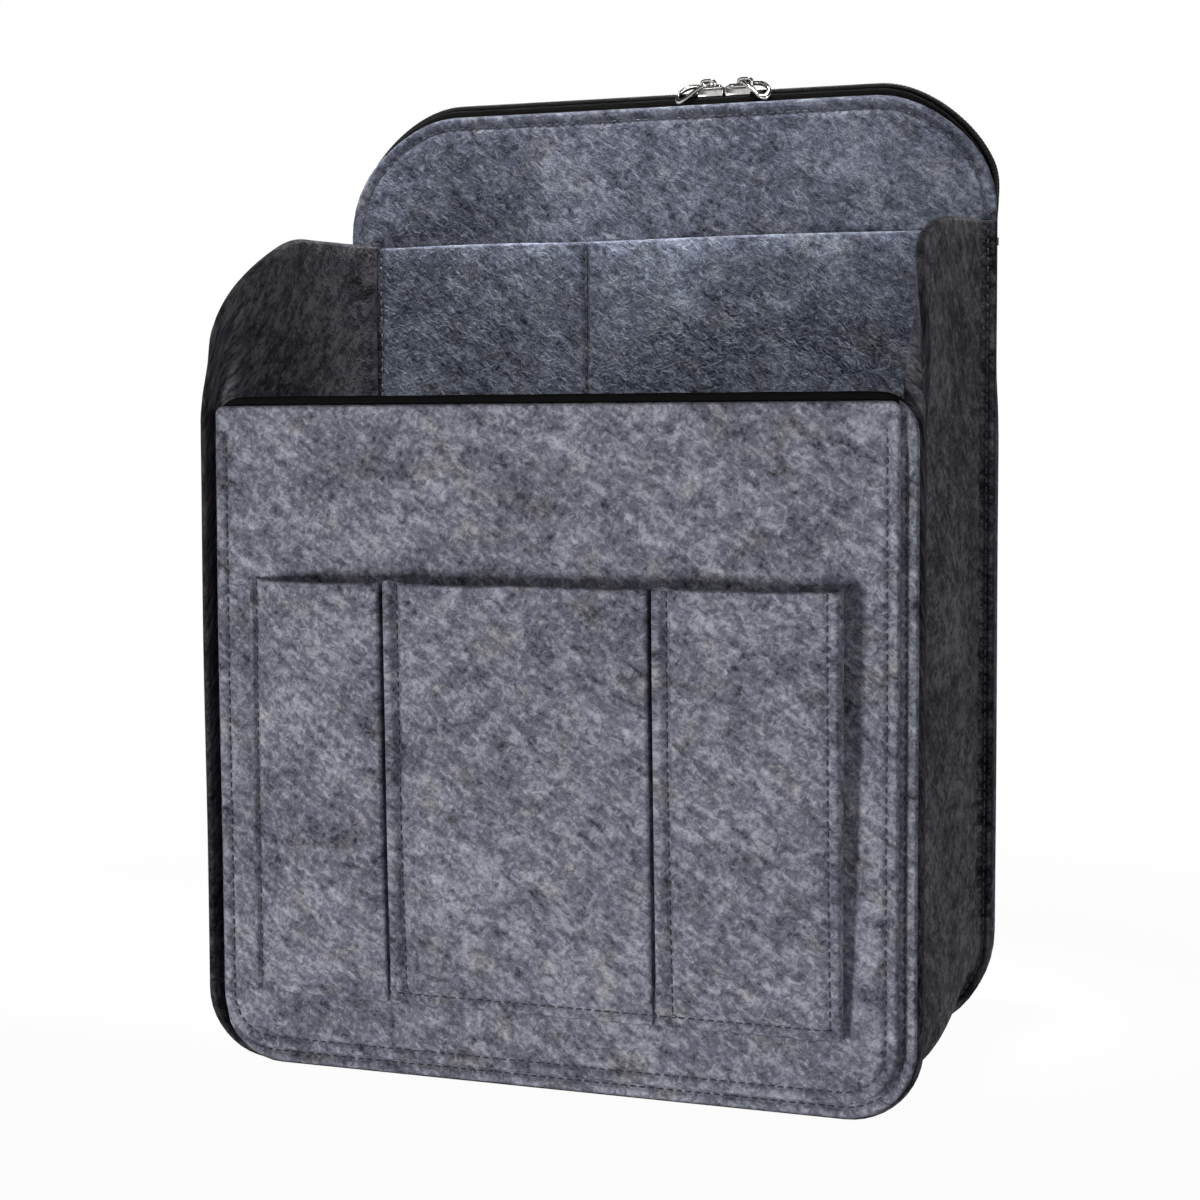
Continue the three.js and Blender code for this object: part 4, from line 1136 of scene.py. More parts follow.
class ORGANIZER_OT_front_pockets(bpy.types.Operator):
    """Pleat the strip of three front pockets, pressed and sewn beside its folds"""

    bl_idname = "organizer.front_pockets"
    bl_label = "Front Pockets"

    def execute(self, context):
        height = POCKETS_HIGH[2] - POCKETS_LOW[2]
        levels = places(height, 6.0, [POCKET_SEAM])
        spans = pocket_spans()
        face, rear = [np.array([self.row(POCKETS_LOW[2] + level, offset, spans) for level in levels])
                      for offset in (-FELT / 2, FELT / 2)]
        run = along(((face + rear) / 2)[len(levels) // 2])
        ease = sheet_ease(from_ends(levels), from_ends(run))
        shell = closed_sheet(face, rear, ease, flat_grid(levels, run)[..., ::-1], LAYERS["front_pockets"])
        piece = make_piece("front_pockets_felt", shell, finish("grey_felt"), ["front_pockets"])
        return {"FINISHED"}

    def row(self, z, offset, spans):
        x, y = pocket_line(z, offset, spans).T
        at_face = smooth(POCKET_BASE_Y - y, 0.1, 0.6 + 0.6 * pocket_room(z))
        face_pull, hem_pull = pocket_pull(x, z)
        y = y + front_sway(x, z) - pocket_belly(x, z) * at_face - pocket_gape(x, z)
        y = y + (face_pull * at_face + hem_pull) * (offset < 0)
        return np.stack([x, y, z + pocket_lift(x, z)], axis=-1)


# Slip pocket

SLIP_SEAT_Y = SLIP_HIGH[1] - FELT / 2
SLIP_BOW = SLIP_SEAT_Y - FELT / 2 - SLIP_LOW[1]
SLIP_WANDER = 0.5
SLIP_PULL, SLIP_SEAM_WIDTH = 2.0, 1.2
SLIP_MARK = 1.0  # from the side edges to where the mesh is closest


class ORGANIZER_OT_slip_pocket(bpy.types.Operator):
    """Hang the divided slip pocket on the back panel"""

    bl_idname = "organizer.slip_pocket"
    bl_label = "Slip Pocket"

    def execute(self, context):
        width, height = SLIP_HIGH[0] - SLIP_LOW[0], SLIP_HIGH[2] - SLIP_LOW[2]
        seam = SLIP_SEAM_X - SLIP_LOW[0]
        across = places(width, 5.0, [seam, SLIP_MARK, width - SLIP_MARK])
        levels = places(height, 7.0)
        flat = flat_grid(levels, across)
        level, run = flat[..., 0], flat[..., 1]
        x, z = SLIP_LOW[0] + run, SLIP_LOW[2] + level
        slack = np.sin(math.pi * np.where(run < seam, run / seam, (run - seam) / (width - seam))) ** 2
        middle = SLIP_SEAT_Y - SLIP_BOW * slack * np.sin(math.pi / 2 * level / height) + back_sway(x, z)
        middle = middle - SLIP_WANDER * ripple(x, z, *SLIP_RIPPLE) * slack
        edges = valley(run - SLIP_EDGE_SEAM) + valley(width - SLIP_EDGE_SEAM - run)
        pull = seam_depth() * (SLIP_PULL * valley(run - seam, SLIP_SEAM_WIDTH) + edges)
        face = np.stack([x, middle - FELT / 2 + pull, z], axis=-1)
        rear = np.stack([x, middle + FELT / 2, z], axis=-1)
        ease = sheet_ease(from_ends(levels), from_ends(across))
        shell = closed_sheet(face, rear, ease, flat[..., ::-1], LAYERS["slip_pocket"])
        # The slip pocket wears the darker copy of the felt that carries painted shade
        piece = make_piece("slip_pocket_felt", shell, finish("inner_felt"), ["inner_pocket"])
        return {"FINISHED"}


# Tapes and zip

def arch(inset, start, step):
    """Places over the top of the back panels: X, Z, outward normal and a rise from 0 at the sides to 1."""
    half, radius = BACK_HALF - inset, BACK_CORNER - inset
    centre_x, centre_z = half - radius, BACK_TOP - BACK_CORNER
    leg = np.linspace(start, centre_z, max(int((centre_z - start) / step), 2) + 1)[:-1]
    turn = np.linspace(0, 1, int(radius * math.pi / 2 / step) + 1)
    angle = math.pi - turn * math.pi / 2
    arc_x, arc_z = -centre_x + radius * np.cos(angle), centre_z + radius * np.sin(angle)
    top = np.linspace(-centre_x, centre_x, int(2 * centre_x / step) + 1)[1:-1]
    none, over = np.zeros_like(leg), np.ones_like(top)
    side = np.concatenate([
        np.stack([none - half, leg, none - 1, none, none], axis=1),
        np.stack([arc_x, arc_z, np.cos(angle), np.sin(angle), smooth(turn, 0, 1)], axis=1)])
    middle = np.stack([top, over * (BACK_TOP - inset), 0 * over, over, over], axis=1)
    return np.concatenate([side, middle, side[::-1] * np.array([-1, 1, -1, 1, 1])])


def on_arch(stations, y, out):
    """Points at a depth and a height above the panels' edge, for each station and each pair given."""
    x, z, nx, nz, rise = (column[:, None] for column in stations.T)
    height = out[None, :] - ZIP_SINK * (1 - rise)
    return np.stack([x + nx * height, np.broadcast_to(y[None, :], height.shape), z + nz * height], axis=-1)


TAPE_EDGE = 0.35
TAPE_STEP = 3.0
ZIP_STEP = 2.5
SEWN_LEG = TAPE_SEWN + SHELF_MIDDLE
SHELF_WIDTH = ZIP_HALF_GAP - CLEAR - TAPE / 2 - CHAIN_GAP / 2
TAPE_BEND = {-1: 0.9, 0: 1.2, 1: 1.5}  # of the tape's inner side, middle and outer side


def zip_tape(name, toward):
    leg_y = ZIP_Y + toward * (ZIP_HALF_GAP - CLEAR - TAPE / 2)
    shelf_y = ZIP_Y + toward * CHAIN_GAP / 2
    corners = np.array([(leg_y, -TAPE_SEWN), (leg_y, SHELF_MIDDLE), (shelf_y, SHELF_MIDDLE)])
    spans = [places(length, step, edge=TAPE_EDGE) / length
             for length, step in ((SEWN_LEG, 1.2), (SHELF_WIDTH, 0.7))]
    stations = arch(0, ZIP_START, ZIP_STEP)
    sides = []
    for way in (-1, 1):
        line = bent_line(offset_corners(corners, way * TAPE / 2), (TAPE_BEND[way * toward],), spans)
        sides.append(on_arch(stations, line[:, 0], line[:, 1]))
    across = along(bent_line(corners, (TAPE_BEND[0],), spans))
    run = along(stations[:, :2])
    ease = sheet_ease(from_ends(run), from_ends(across), TAPE_EDGE)
    shell = closed_sheet(*sides, ease, flat_grid(run, across), LAYERS["zip_tape"])
    black = finish("black_woven_tape")
    piece = make_piece(f"zip_tape_{name}_woven", shell, black, [f"zip_tape_{name}"])


BINDING_SPANS = (np.array([0, 0.08, 0.2, 0.5, 1.0]), np.linspace(0, 1, 4),
                 1 - np.array([0, 0.03, 0.08, 0.2, 0.5, 1.0])[::-1])
BINDING_BEND = {-1: 0.6, 0: 1.0, 1: 1.3}
BINDING_WANDER = 0.12
TAB_BELLY = 1.5
TAB_EASE = 20.0
TAB_COLUMNS = 11


class ORGANIZER_OT_black_tapes(bpy.types.Operator):
    """Bind the front wall's top edge and sew in the zip's tapes and side tabs"""

    bl_idname = "organizer.black_tapes"
    bl_label = "Black Tapes"

    def execute(self, context):
        self.bind_front_wall()
        zip_tape("front", -1)
        zip_tape("rear", 1)
        for name, side in (("left", -1), ("right", 1)):
            self.side_tab(name, side)
        return {"FINISHED"}

    def bind_front_wall(self):
        tape = BINDING_HIGH[2] - RIM_HIGH[2] - CLEAR
        front, rear = BINDING_LOW[1] + tape / 2, BINDING_HIGH[1] - tape / 2
        top = BINDING_HIGH[2] - tape / 2
        corners = np.array([(front, FRONT_TOP + CLEAR), (front, top), (rear, top), (rear, BINDING_LOW[2])])
        length = 2 * BINDING_HALF
        run = places(length, TAPE_STEP, edge=TAPE_EDGE)
        x = run - BINDING_HALF
        inset = np.where(x > 0, RIM_RIGHT, RIM_LEFT) + RIM_TOP_CORNER
        past = np.clip(np.abs(x) - (RIM_HALF - inset), 0, None)
        drop = RIM_TOP_CORNER - np.sqrt(RIM_TOP_CORNER ** 2 - past ** 2)
        rise = BINDING_WANDER * ripple(x, 0 * x, *BINDING_RIPPLE) - drop
        sides = []
        for way in (-1, 1):
            line = bent_line(offset_corners(corners, way * tape / 2), (BINDING_BEND[way],) * 2, BINDING_SPANS)
            depth = line[None, :, 0] + front_sway(x, FRONT_TOP)[:, None]
            level = line[None, :, 1] + rise[:, None]
            sides.append(np.stack([np.broadcast_to(x[:, None], depth.shape), depth, level], axis=-1))
        across = along(bent_line(corners, (BINDING_BEND[0],) * 2, BINDING_SPANS))
        ease = sheet_ease(from_ends(run), from_ends(across), TAPE_EDGE)
        shell = closed_sheet(*sides, ease, flat_grid(run, across), LAYERS["front_binding"])
        black = finish("black_woven_tape")
        piece = make_piece("front_binding_woven", shell, black, ["front_wall_binding"])

    def side_tab(self, name, side):
        levels = places(TAB_HIGH[2] - TAB_LOW[2], TAPE_STEP, edge=TAPE_EDGE)
        z = TAB_LOW[2] + levels[:, None]
        outer = TAB_HIGH[0]
        rear = REAR_LOW[1] + compartment_room(outer, z) - CLEAR
        t = np.linspace(0, 1, TAB_COLUMNS)
        y = lerp(TAB_LOW[1], rear, t)
        x = outer - TAPE / 2 - TAB_BELLY * np.sin(math.pi * t) * smooth(levels[:, None], 0, TAB_EASE)
        width = rear - TAB_LOW[1]
        z = np.broadcast_to(z, y.shape)
        depth = y + back_sway(x, z)
        faces = [np.stack([side * (x + offset), depth, z], axis=-1) for offset in (TAPE / 2, -TAPE / 2)]
        ease = sheet_ease(from_ends(levels), from_ends(t) * width, TAPE_EDGE)
        shell = closed_sheet(*faces, ease, np.stack([z, y], axis=-1), LAYERS["zip_tab"])
        black = finish("black_woven_tape")
        piece = make_piece(f"zip_tab_{name}_woven", shell, black, [f"zip_tab_{name}"])


COIL_FOOT = 2.75
COIL_TOP = 5.0
COIL_INSIDE = 0.5  # from the zip's middle to the coil
COIL_RIB = 0.11
COIL_TURN = 6
COIL_STEP = 1.0
COIL_SIDES = 12
COIL_SQUARE = 0.75
STOP_EDGE = 0.5
STOP_RIBS = 3
RIB_HALF = 0.3
RIB_EDGE = 0.25
RIB_PROUD = np.array([0.12, 0.1, 0.0])
RING_SHRINK = 0.98  # leaves a little rounding in the corners of a block's end rings


def squared_circle(sides, bulky):
    """Unit points round a circle that bulges towards a square as its exponent falls from 1."""
    turn = 2 * math.pi * np.arange(sides) / sides
    return tuple(np.sign(part) * np.abs(part) ** bulky for part in (np.cos(turn), np.sin(turn)))


def coil_shell(toward, pitch):
    """One half of the chain: a close coil along the edge of its tape, seen as a ribbed bar."""
    stations = arch(0, CHAIN_START, COIL_STEP)
    run = along(stations[:, :2])
    spot = np.linspace(0, run[-1], int(run[-1] / pitch) * COIL_TURN + 1)
    x, z, nx, nz, rise = (np.interp(spot, run, column)[:, None] for column in stations.T)
    sunk = COIL_RIB * (0.5 + 0.5 * np.cos(2 * math.pi * spot / pitch))[:, None]
    unit_y, unit_out = squared_circle(COIL_SIDES, COIL_SQUARE)
    y = ZIP_Y + toward * ((CHAIN_SIDE + COIL_INSIDE) / 2 + ((CHAIN_SIDE - COIL_INSIDE) / 2 - sunk) * unit_y)
    out = (COIL_FOOT + COIL_TOP) / 2 + ((COIL_TOP - COIL_FOOT) / 2 - sunk) * unit_out - ZIP_SINK * (1 - rise)
    return capped_rings(np.stack([x + nx * out, y, z + nz * out], axis=-1))


def rounded_block(low, high, edge, steps=3):
    """A block with round edges, as rings of a rounded rectangle that narrow at both ends."""
    low, high = np.array(low, float), np.array(high, float)
    middle, half = (low + high) / 2, (high - low) / 2
    corner = [(np.cos(q), np.sin(q)) for q in np.linspace(0, math.pi / 2, steps + 1)]
    rings = []
    for q in np.linspace(-math.pi / 2, math.pi / 2, 2 * steps + 2):
        level = math.copysign(half[2] - edge, q) + edge * math.sin(q)
        bend = edge - edge * (1 - math.cos(q)) * RING_SHRINK
        ring = []
        for turn, (sx, sy) in enumerate(((1, 1), (-1, 1), (-1, -1), (1, -1))):
            for c, s in corner if turn % 2 == 0 else corner[::-1]:
                ring.append((sx * (half[0] - edge + bend * c), sy * (half[1] - edge + bend * s), level))
        rings.append(ring)
    return capped_rings(np.array(rings) + middle)


class ORGANIZER_OT_zip_chain(bpy.types.Operator):
    """Wind both halves of the zip's coil and clamp the stops on their ends"""

    bl_idname = "organizer.zip_chain"
    bl_label = "Zip Chain"

    def execute(self, context):
        pitch = context.scene.organizer_zip.coil_pitch / MM
        black = finish("black_nylon_coil")
        for name, toward in (("front", -1), ("rear", 1)):
            make_piece(f"zip_coil_{name}", coil_shell(toward, pitch), black, [f"zip_chain_{name}"])
        for name in ("left", "right"):
            low, high = node_box(f"zip_stop_{name}")
            shells = [rounded_block(low, high, STOP_EDGE)]
            for rib in range(STOP_RIBS):
                level = low[2] + (rib + 0.5) * (high[2] - low[2]) / STOP_RIBS
                foot = np.array([*low[:2], level - RIB_HALF]) - RIB_PROUD
                top = np.array([*high[:2], level + RIB_HALF]) + RIB_PROUD
                shells.append(rounded_block(foot, top, RIB_EDGE))
            make_piece(f"zip_stop_{name}_clamp", merged(shells), black, [f"zip_stop_{name}"])
        return {"FINISHED"}


# Sliders and pulls

SLIDER_HALF = 5.0
SLIDER_INSIDE = 2.9
SLIDER_SIDE = 3.85
SLIDER_TAPER = 0.8
TOP_PLATE = 5.8
SLIDER_PLATE = 1.0
UNDER_PLATE = 0.6
UNDER_SIDE = 4.0
POST_HALF = 0.4
POST_LENGTH = 2.6
BAIL_TAIL = -5.0
BAIL_SPAN = 6.4
BAIL_THICK = 1.4
BAIL_WIDE = 2.8
BAIL_TOP = 10.1
PULL_WIRE = 0.88
PULL_SAG = 2.6  # how far the pull's tip bends down
PULL_BAR = 0.9
PULL_RADIUS = 2.65
PULL_EYE = -2.65
PULL_TIP = -9.65
PULL_SPLAY = math.radians(30)
PULL_DROOP = math.radians(8)
PULL_TWIST = math.radians(38)
PULL_ROOM = 1.2  # between the pull's inner end and the bail and plate
MEETING_GAP = 0.3
METAL_EDGE = 0.4
PLATE_SIDES, PLATE_SQUARE = 48, 0.34
PLATE_CROWN = 1.0
CROWN_RINGS = ((1.2, 0.7), (2.4, 1.0))  # insets, and shares of the crown
EDGE_SOFT = 0.2 * METAL_EDGE
WAIST, WAIST_LENGTH = 0.07, 1.6
BAR_SIDES, BAR_SQUARE = 12, 0.6
BAIL_BEND = 2.0
WIRE_SIDES, WIRE_SQUARE = 10, 0.7
SLIDER_OVERLAP = 0.4  # of a slider's pieces in each other
SLIDER_INSET = 0.1
POST_EDGE = 0.15
POST_FOOT = UNDER_PLATE + 0.3


def slider_plate(bottom, head_side, crown):
    """A slider's plate with round corners, narrower at the tail, its edges eased and its top crowned."""
    unit_x, unit_y = squared_circle(PLATE_SIDES, PLATE_SQUARE)
    top = bottom + SLIDER_PLATE
    levels = ((METAL_EDGE, bottom), (EDGE_SOFT, bottom + EDGE_SOFT), (0.0, bottom + METAL_EDGE),
              (0.0, top - METAL_EDGE), (EDGE_SOFT, top - EDGE_SOFT), (METAL_EDGE, top),
              *((inset, top + share * crown) for inset, share in CROWN_RINGS))
    rings = []
    for inset, level in levels:
        x = unit_x * (SLIDER_HALF - inset)
        waist = 1 - WAIST * np.cos(math.pi * x / SLIDER_HALF / WAIST_LENGTH) ** 2
        side = lerp(head_side - SLIDER_TAPER, head_side, (x + SLIDER_HALF) / (2 * SLIDER_HALF)) * waist
        rings.append(np.stack([x, unit_y * (side - inset), np.full_like(x, level)], axis=-1))
    return capped_rings(np.array(rings))


def swept_bar(path, wide, thick):
    """A bar with round edges along a bent line in the XZ plane."""
    unit_w, unit_t = squared_circle(BAR_SIDES, BAR_SQUARE)
    tangent = np.gradient(path, axis=0)
    tangent /= np.linalg.norm(tangent, axis=1)[:, None]
    across = np.stack([-tangent[:, 1], tangent[:, 0]], axis=1)
    x, z = (path[:, None, axis] + across[:, None, axis] * unit_t * thick / 2 for axis in (0, 1))
    return capped_rings(np.stack([x, np.broadcast_to(unit_w * wide / 2, x.shape), z], axis=-1))


def slider_shell():
    """A slider with its head towards +X, its heights counted from the panels' top edge."""
    foot, top = TOP_PLATE + SLIDER_PLATE / 2, BAIL_TOP - BAIL_THICK / 2
    tail, head = BAIL_TAIL + BAIL_THICK / 2, BAIL_TAIL + BAIL_SPAN - BAIL_THICK / 2
    corners = np.array([(tail, foot), (tail, top), (head, top), (head, foot)])
    bail = bent_line(corners, (BAIL_BEND,) * 2, [np.linspace(0, 1, count) for count in (4, 5, 4)])
    reach, roof = SLIDER_HALF - SLIDER_INSET, TOP_PLATE + SLIDER_OVERLAP
    sides = [rounded_block((-reach, inner, CHAIN_FOOT), (reach, outer, roof), METAL_EDGE)
             for inner, outer in ((-SLIDER_SIDE, -SLIDER_INSIDE), (SLIDER_INSIDE, SLIDER_SIDE))]
    low = (SLIDER_HALF - POST_LENGTH, -POST_HALF, POST_FOOT)
    post = rounded_block(low, (reach, POST_HALF, roof), POST_EDGE)
    return merged([
        slider_plate(TOP_PLATE, SLIDER_SIDE + SLIDER_TAPER, PLATE_CROWN),
        slider_plate(UNDER_PLATE, UNDER_SIDE, 0.0), *sides, post, swept_bar(bail, BAIL_WIDE, BAIL_THICK)])


def pull_shell(twist):
    """A long flat ring, the middle of its inner end at the origin and its tip along -X."""
    half_turn = np.linspace(-math.pi / 2, math.pi / 2, 16)
    eye = np.stack([PULL_EYE + PULL_RADIUS * np.cos(half_turn), PULL_RADIUS * np.sin(half_turn)], axis=1)
    tip = np.stack([PULL_TIP - PULL_RADIUS * np.cos(half_turn), -PULL_RADIUS * np.sin(half_turn)], axis=1)
    straight = np.linspace(0, 1, 7)[1:-1, None]
    path = np.concatenate([eye, lerp(eye[-1], tip[0], straight), tip, lerp(tip[-1], eye[0], straight)])
    centre = np.array([(PULL_EYE + PULL_TIP) / 2, 0.0])
    tangent = np.roll(path, -1, axis=0) - np.roll(path, 1, axis=0)
    tangent /= np.linalg.norm(tangent, axis=1)[:, None]
    out = np.stack([tangent[:, 1], -tangent[:, 0]], axis=1)
    out *= np.sign(((path - centre) * out).sum(axis=1))[:, None]
    unit_out, unit_z = (PULL_WIRE * part for part in squared_circle(WIRE_SIDES, WIRE_SQUARE))
    x, y = (path[:, None, axis] + out[:, None, axis] * unit_out for axis in (0, 1))
    z = np.broadcast_to(unit_z, x.shape)
    share = np.clip(x / PULL_TIP, 0, None)
    roll = twist * smooth(share, 0, 1)
    y, z = y * np.cos(roll) - z * np.sin(roll), y * np.sin(roll) + z * np.cos(roll)
    points = np.stack([x, y, z - PULL_SAG * share ** 2], axis=-1).reshape(-1, 3)
    index = np.arange(x.size).reshape(x.shape)
    return points, ring_quads(np.vstack([index, index[:1]])).tolist(), points.copy()


class ORGANIZER_OT_sliders(bpy.types.Operator):
    """Make the two zip sliders and the ring pulls that hang from their bails"""

    bl_idname = "organizer.sliders"
    bl_label = "Sliders"

    def execute(self, context):
        nickel = finish("polished_nickel")
        left_high, right_low = node_box("slider_left")[1][0], node_box("slider_right")[0][0]
        meeting = (left_high + right_low) / 2
        pivot_x = BAIL_TAIL + BAIL_THICK + PULL_ROOM + PULL_BAR / 2
        pivot_z = TOP_PLATE + SLIDER_PLATE + PULL_ROOM
        for name, side in (("left", -1), ("right", 1)):
            spot = Vector((meeting + side * (MEETING_GAP + SLIDER_HALF), ZIP_Y, BACK_TOP))
            carriage = Matrix.Translation(spot) @ Matrix.Rotation(0 if side < 0 else math.pi, 4, "Z")
            make_piece(f"zip_slider_{name}", slider_shell(), nickel, [f"slider_{name}"],
                       f"slider_{name}", carriage)
            hinge = (carriage @ Matrix.Translation((pivot_x, 0, pivot_z))
                     @ Matrix.Rotation(-side * PULL_SPLAY, 4, "Z") @ Matrix.Rotation(-PULL_DROOP, 4, "Y"))
            make_piece(f"zip_pull_{name}", pull_shell(-side * PULL_TWIST), nickel, [f"pull_{name}"],
                       f"pull_{name}", hinge)
        return {"FINISHED"}


# Stitches

STITCH_RINGS = 7
STITCH_SIDES = 6
HOLE = 0.12  # share of a stitch's length that is in its needle hole
HOLE_DEPTH, STITCH_PROUD = -0.7, 0.12
SEAM_FLOAT = 0.25  # share of a seam's depth that its stitches bridge
THIN_END = 0.55
LINE_STEP = 2.0
LINE_POINTS = 60
FOOT_POINTS = 80


def stitched(name, line, outward, node, pulled=1.0):
    """A row of single stitches along a line on the felt's face; outward is the side that shows."""
    values = bpy.context.scene.organizer_stitch
    radius = values.thread / MM / 2
    run = along(line)
    count = max(int(run[-1] / (values.pitch / MM)), 1)
    share = np.linspace(0, 1, STITCH_RINGS)
    starts = (np.arange(count) + HOLE / 2) * run[-1] / count
    spot = starts[:, None] + share[None] * (1 - HOLE) * run[-1] / count
    seat = np.stack([np.interp(spot, run, line[:, axis]) for axis in range(3)], axis=-1)
    normal = np.array([0.0, outward, 0.0])
    height = lerp(HOLE_DEPTH, STITCH_PROUD, np.sin(math.pi * share) ** 0.55)
    centre = seat + normal * (height - seam_depth() * (pulled - SEAM_FLOAT))[None, :, None]
    tangent = np.gradient(seat, axis=1)
    tangent /= np.linalg.norm(tangent, axis=-1)[..., None]
    beside = np.cross(tangent, normal)
    turn = 2 * math.pi * np.arange(STITCH_SIDES) / STITCH_SIDES
    thick = radius * lerp(THIN_END, 1.0, np.sin(math.pi * share) ** 0.5)
    rings = centre[:, :, None] + thick[None, :, None, None] * (
        np.cos(turn)[None, None, :, None] * normal + np.sin(turn)[None, None, :, None] * beside[:, :, None])
    around = np.tile(turn * radius, STITCH_RINGS)
    layer = np.full_like(around, LAYERS["stitches"])
    shells = []
    for i in range(count):
        points, faces, _ = capped_rings(rings[i])
        shells.append((points, faces, np.stack([np.repeat(spot[i], STITCH_SIDES), around, layer], axis=1)))
    make_piece(name, merged(shells), finish("grey_thread"), [node])


def tray_line(half, low, radius, top, y):
    """Down the left side, along the bottom and up the right side."""
    turn = np.radians(np.linspace(180, 270, 2 * ARC_STEPS))
    left = np.stack([radius - half + radius * np.cos(turn), low + radius + radius * np.sin(turn)], axis=1)
    points = np.concatenate([[(-half, top)], left, left[::-1] * (-1, 1), [(half, top)]])
    run = along(points)
    even = np.linspace(0, run[-1], int(run[-1] / LINE_STEP) + 1)
    x, z = np.interp(even, run, points[:, 0]), np.interp(even, run, points[:, 1])
    return np.stack([x, y(x, z), z], axis=1)


def rising_line(x, low, high, y):
    z = np.linspace(low, high, LINE_POINTS)
    across = np.full_like(z, x)
    return np.stack([across, y(across, z), z], axis=1)


def arched_line(start, y):
    """Over the back panels' top, along the zip's seam."""
    over = arch(ZIP_SEAM, start, LINE_STEP)
    x, z = over[:, 0], over[:, 1]
    return np.stack([x, y(x, z), z], axis=1)


def pocket_face(x, z):
    """Depth of the pockets' outer face."""
    return POCKET_BASE_Y - pocket_room(z) - FELT / 2 + front_sway(x, z) - pocket_belly(x, z)


STITCH_START = 0.7  # beyond the seam or the edge that a row starts from
ZIP_STITCH_PULL = 0.7


class ORGANIZER_OT_stitches(bpy.types.Operator):
    """Sew every seam with single stitches"""

    bl_idname = "organizer.stitches"
    bl_label = "Stitches"

    def execute(self, context):
        stitched("front_seam_stitches", tray_line(
            FACING_HALF - FACING_SEAM, PANEL_LOW[2] + FACING_SEAM, FACING_CORNER - FACING_SEAM,
            FRONT_TOP - FACING_SEAM, front_sway), -1, "front_seam_thread")
        stitched("rim_seam_stitches", tray_line(
            FACING_HALF + RIM_SEAM, PANEL_LOW[2] - RIM_SEAM, FACING_CORNER + RIM_SEAM,
            FRONT_TOP - RIM_TOP_CORNER, swayed(rim_sway, RIM_LOW[1])), -1, "rim_seam_thread")
        stitched("back_seam_stitches", tray_line(
            BACK_HALF - FLANGE_SEAM, FLANGE_SEAM, BACK_FOOT_CORNER - FLANGE_SEAM,
            WALL_TOP, swayed(back_sway, BACK_FLANGE_Y - FELT / 2)), -1, "back_seam_thread")
        line = arched_line(WALL_TOP + STITCH_START, swayed(back_sway, BACK_LOW[1]))
        stitched("zip_front_stitches", line, -1, "zip_seam_thread_front", ZIP_STITCH_PULL)
        line = arched_line(ZIP_START, swayed(back_sway, REAR_HIGH[1]))
        stitched("zip_rear_stitches", line, 1, "zip_seam_thread_rear")
        x = np.linspace(MIDDLE_FOLD, POCKETS_HIGH[0] - FELT, FOOT_POINTS)
        level = np.full_like(x, FOOT_SEAM_Z)
        line = np.stack([x, pocket_face(x, level), level], axis=1)
        stitched("pocket_foot_stitches", line, -1, "pocket_foot_thread")
        low, high = FOOT_SEAM_Z + STITCH_START, POCKETS_HIGH[2]
        line = rising_line(HEM_SEAM_X, low, high, swayed(front_sway, POCKET_BASE_Y - FELT / 2))
        stitched("pocket_hem_stitches", line, -1, "pocket_hem_thread", HEM_PULL)
        for name, seam in FOLD_SEAMS.items():
            stitched(f"pocket_fold_stitches_{name}", rising_line(seam, low, high, pocket_face), -1,
                     f"pocket_fold_thread_{name}", FOLD_PULLS[name])
        slip_seams = {"left": SLIP_LOW[0] + SLIP_EDGE_SEAM, "middle": SLIP_SEAM_X,
                      "right": SLIP_HIGH[0] - SLIP_EDGE_SEAM}
        for name, seam in slip_seams.items():
            line = rising_line(seam, SLIP_LOW[2], SLIP_HIGH[2], swayed(back_sway, SLIP_SEAT_Y - FELT / 2))
            stitched(f"slip_pocket_stitches_{name}", line, -1, f"inner_pocket_thread_{name}")
        return {"FINISHED"}


# Stage

MIDDLE = (0.0, 0.0, 0.15)
# Each lamp's place, the point that it is aimed at, its width and height, and its spread in degrees
LAMPS = {
    "key": ((-2.0, -3.08, -0.97), MIDDLE, (0.55, 1.1), 180),
    "side": ((1.9, -1.0, 0.7), MIDDLE, (0.8, 0.8), 180),
    "back": ((-0.9, 2.1, 0.9), MIDDLE, (0.9, 0.9), 180),
    "top": ((-0.15, -0.058, 1.25), (-0.15, 0.055, 0.27), (0.52, 0.05), 13),
}
SENSOR = 36.0
AMBIENT_BLUE = 1.03
# Ramps of what metal mirrors: dark overhead, and a dark flag at either side
DARK_ABOVE = (0.24, 0.48, 0.0, 0.95)
FLAG_PLACE = 0.55
SIDE_FLAGS = (0.06, 0.22, 0.85, 0.0)
FLOOR_REACH = 4.0
FLOOR_DROP = 0.0002
FLOOR_FADE = (0.18, 0.60, 0.965, 1.0)


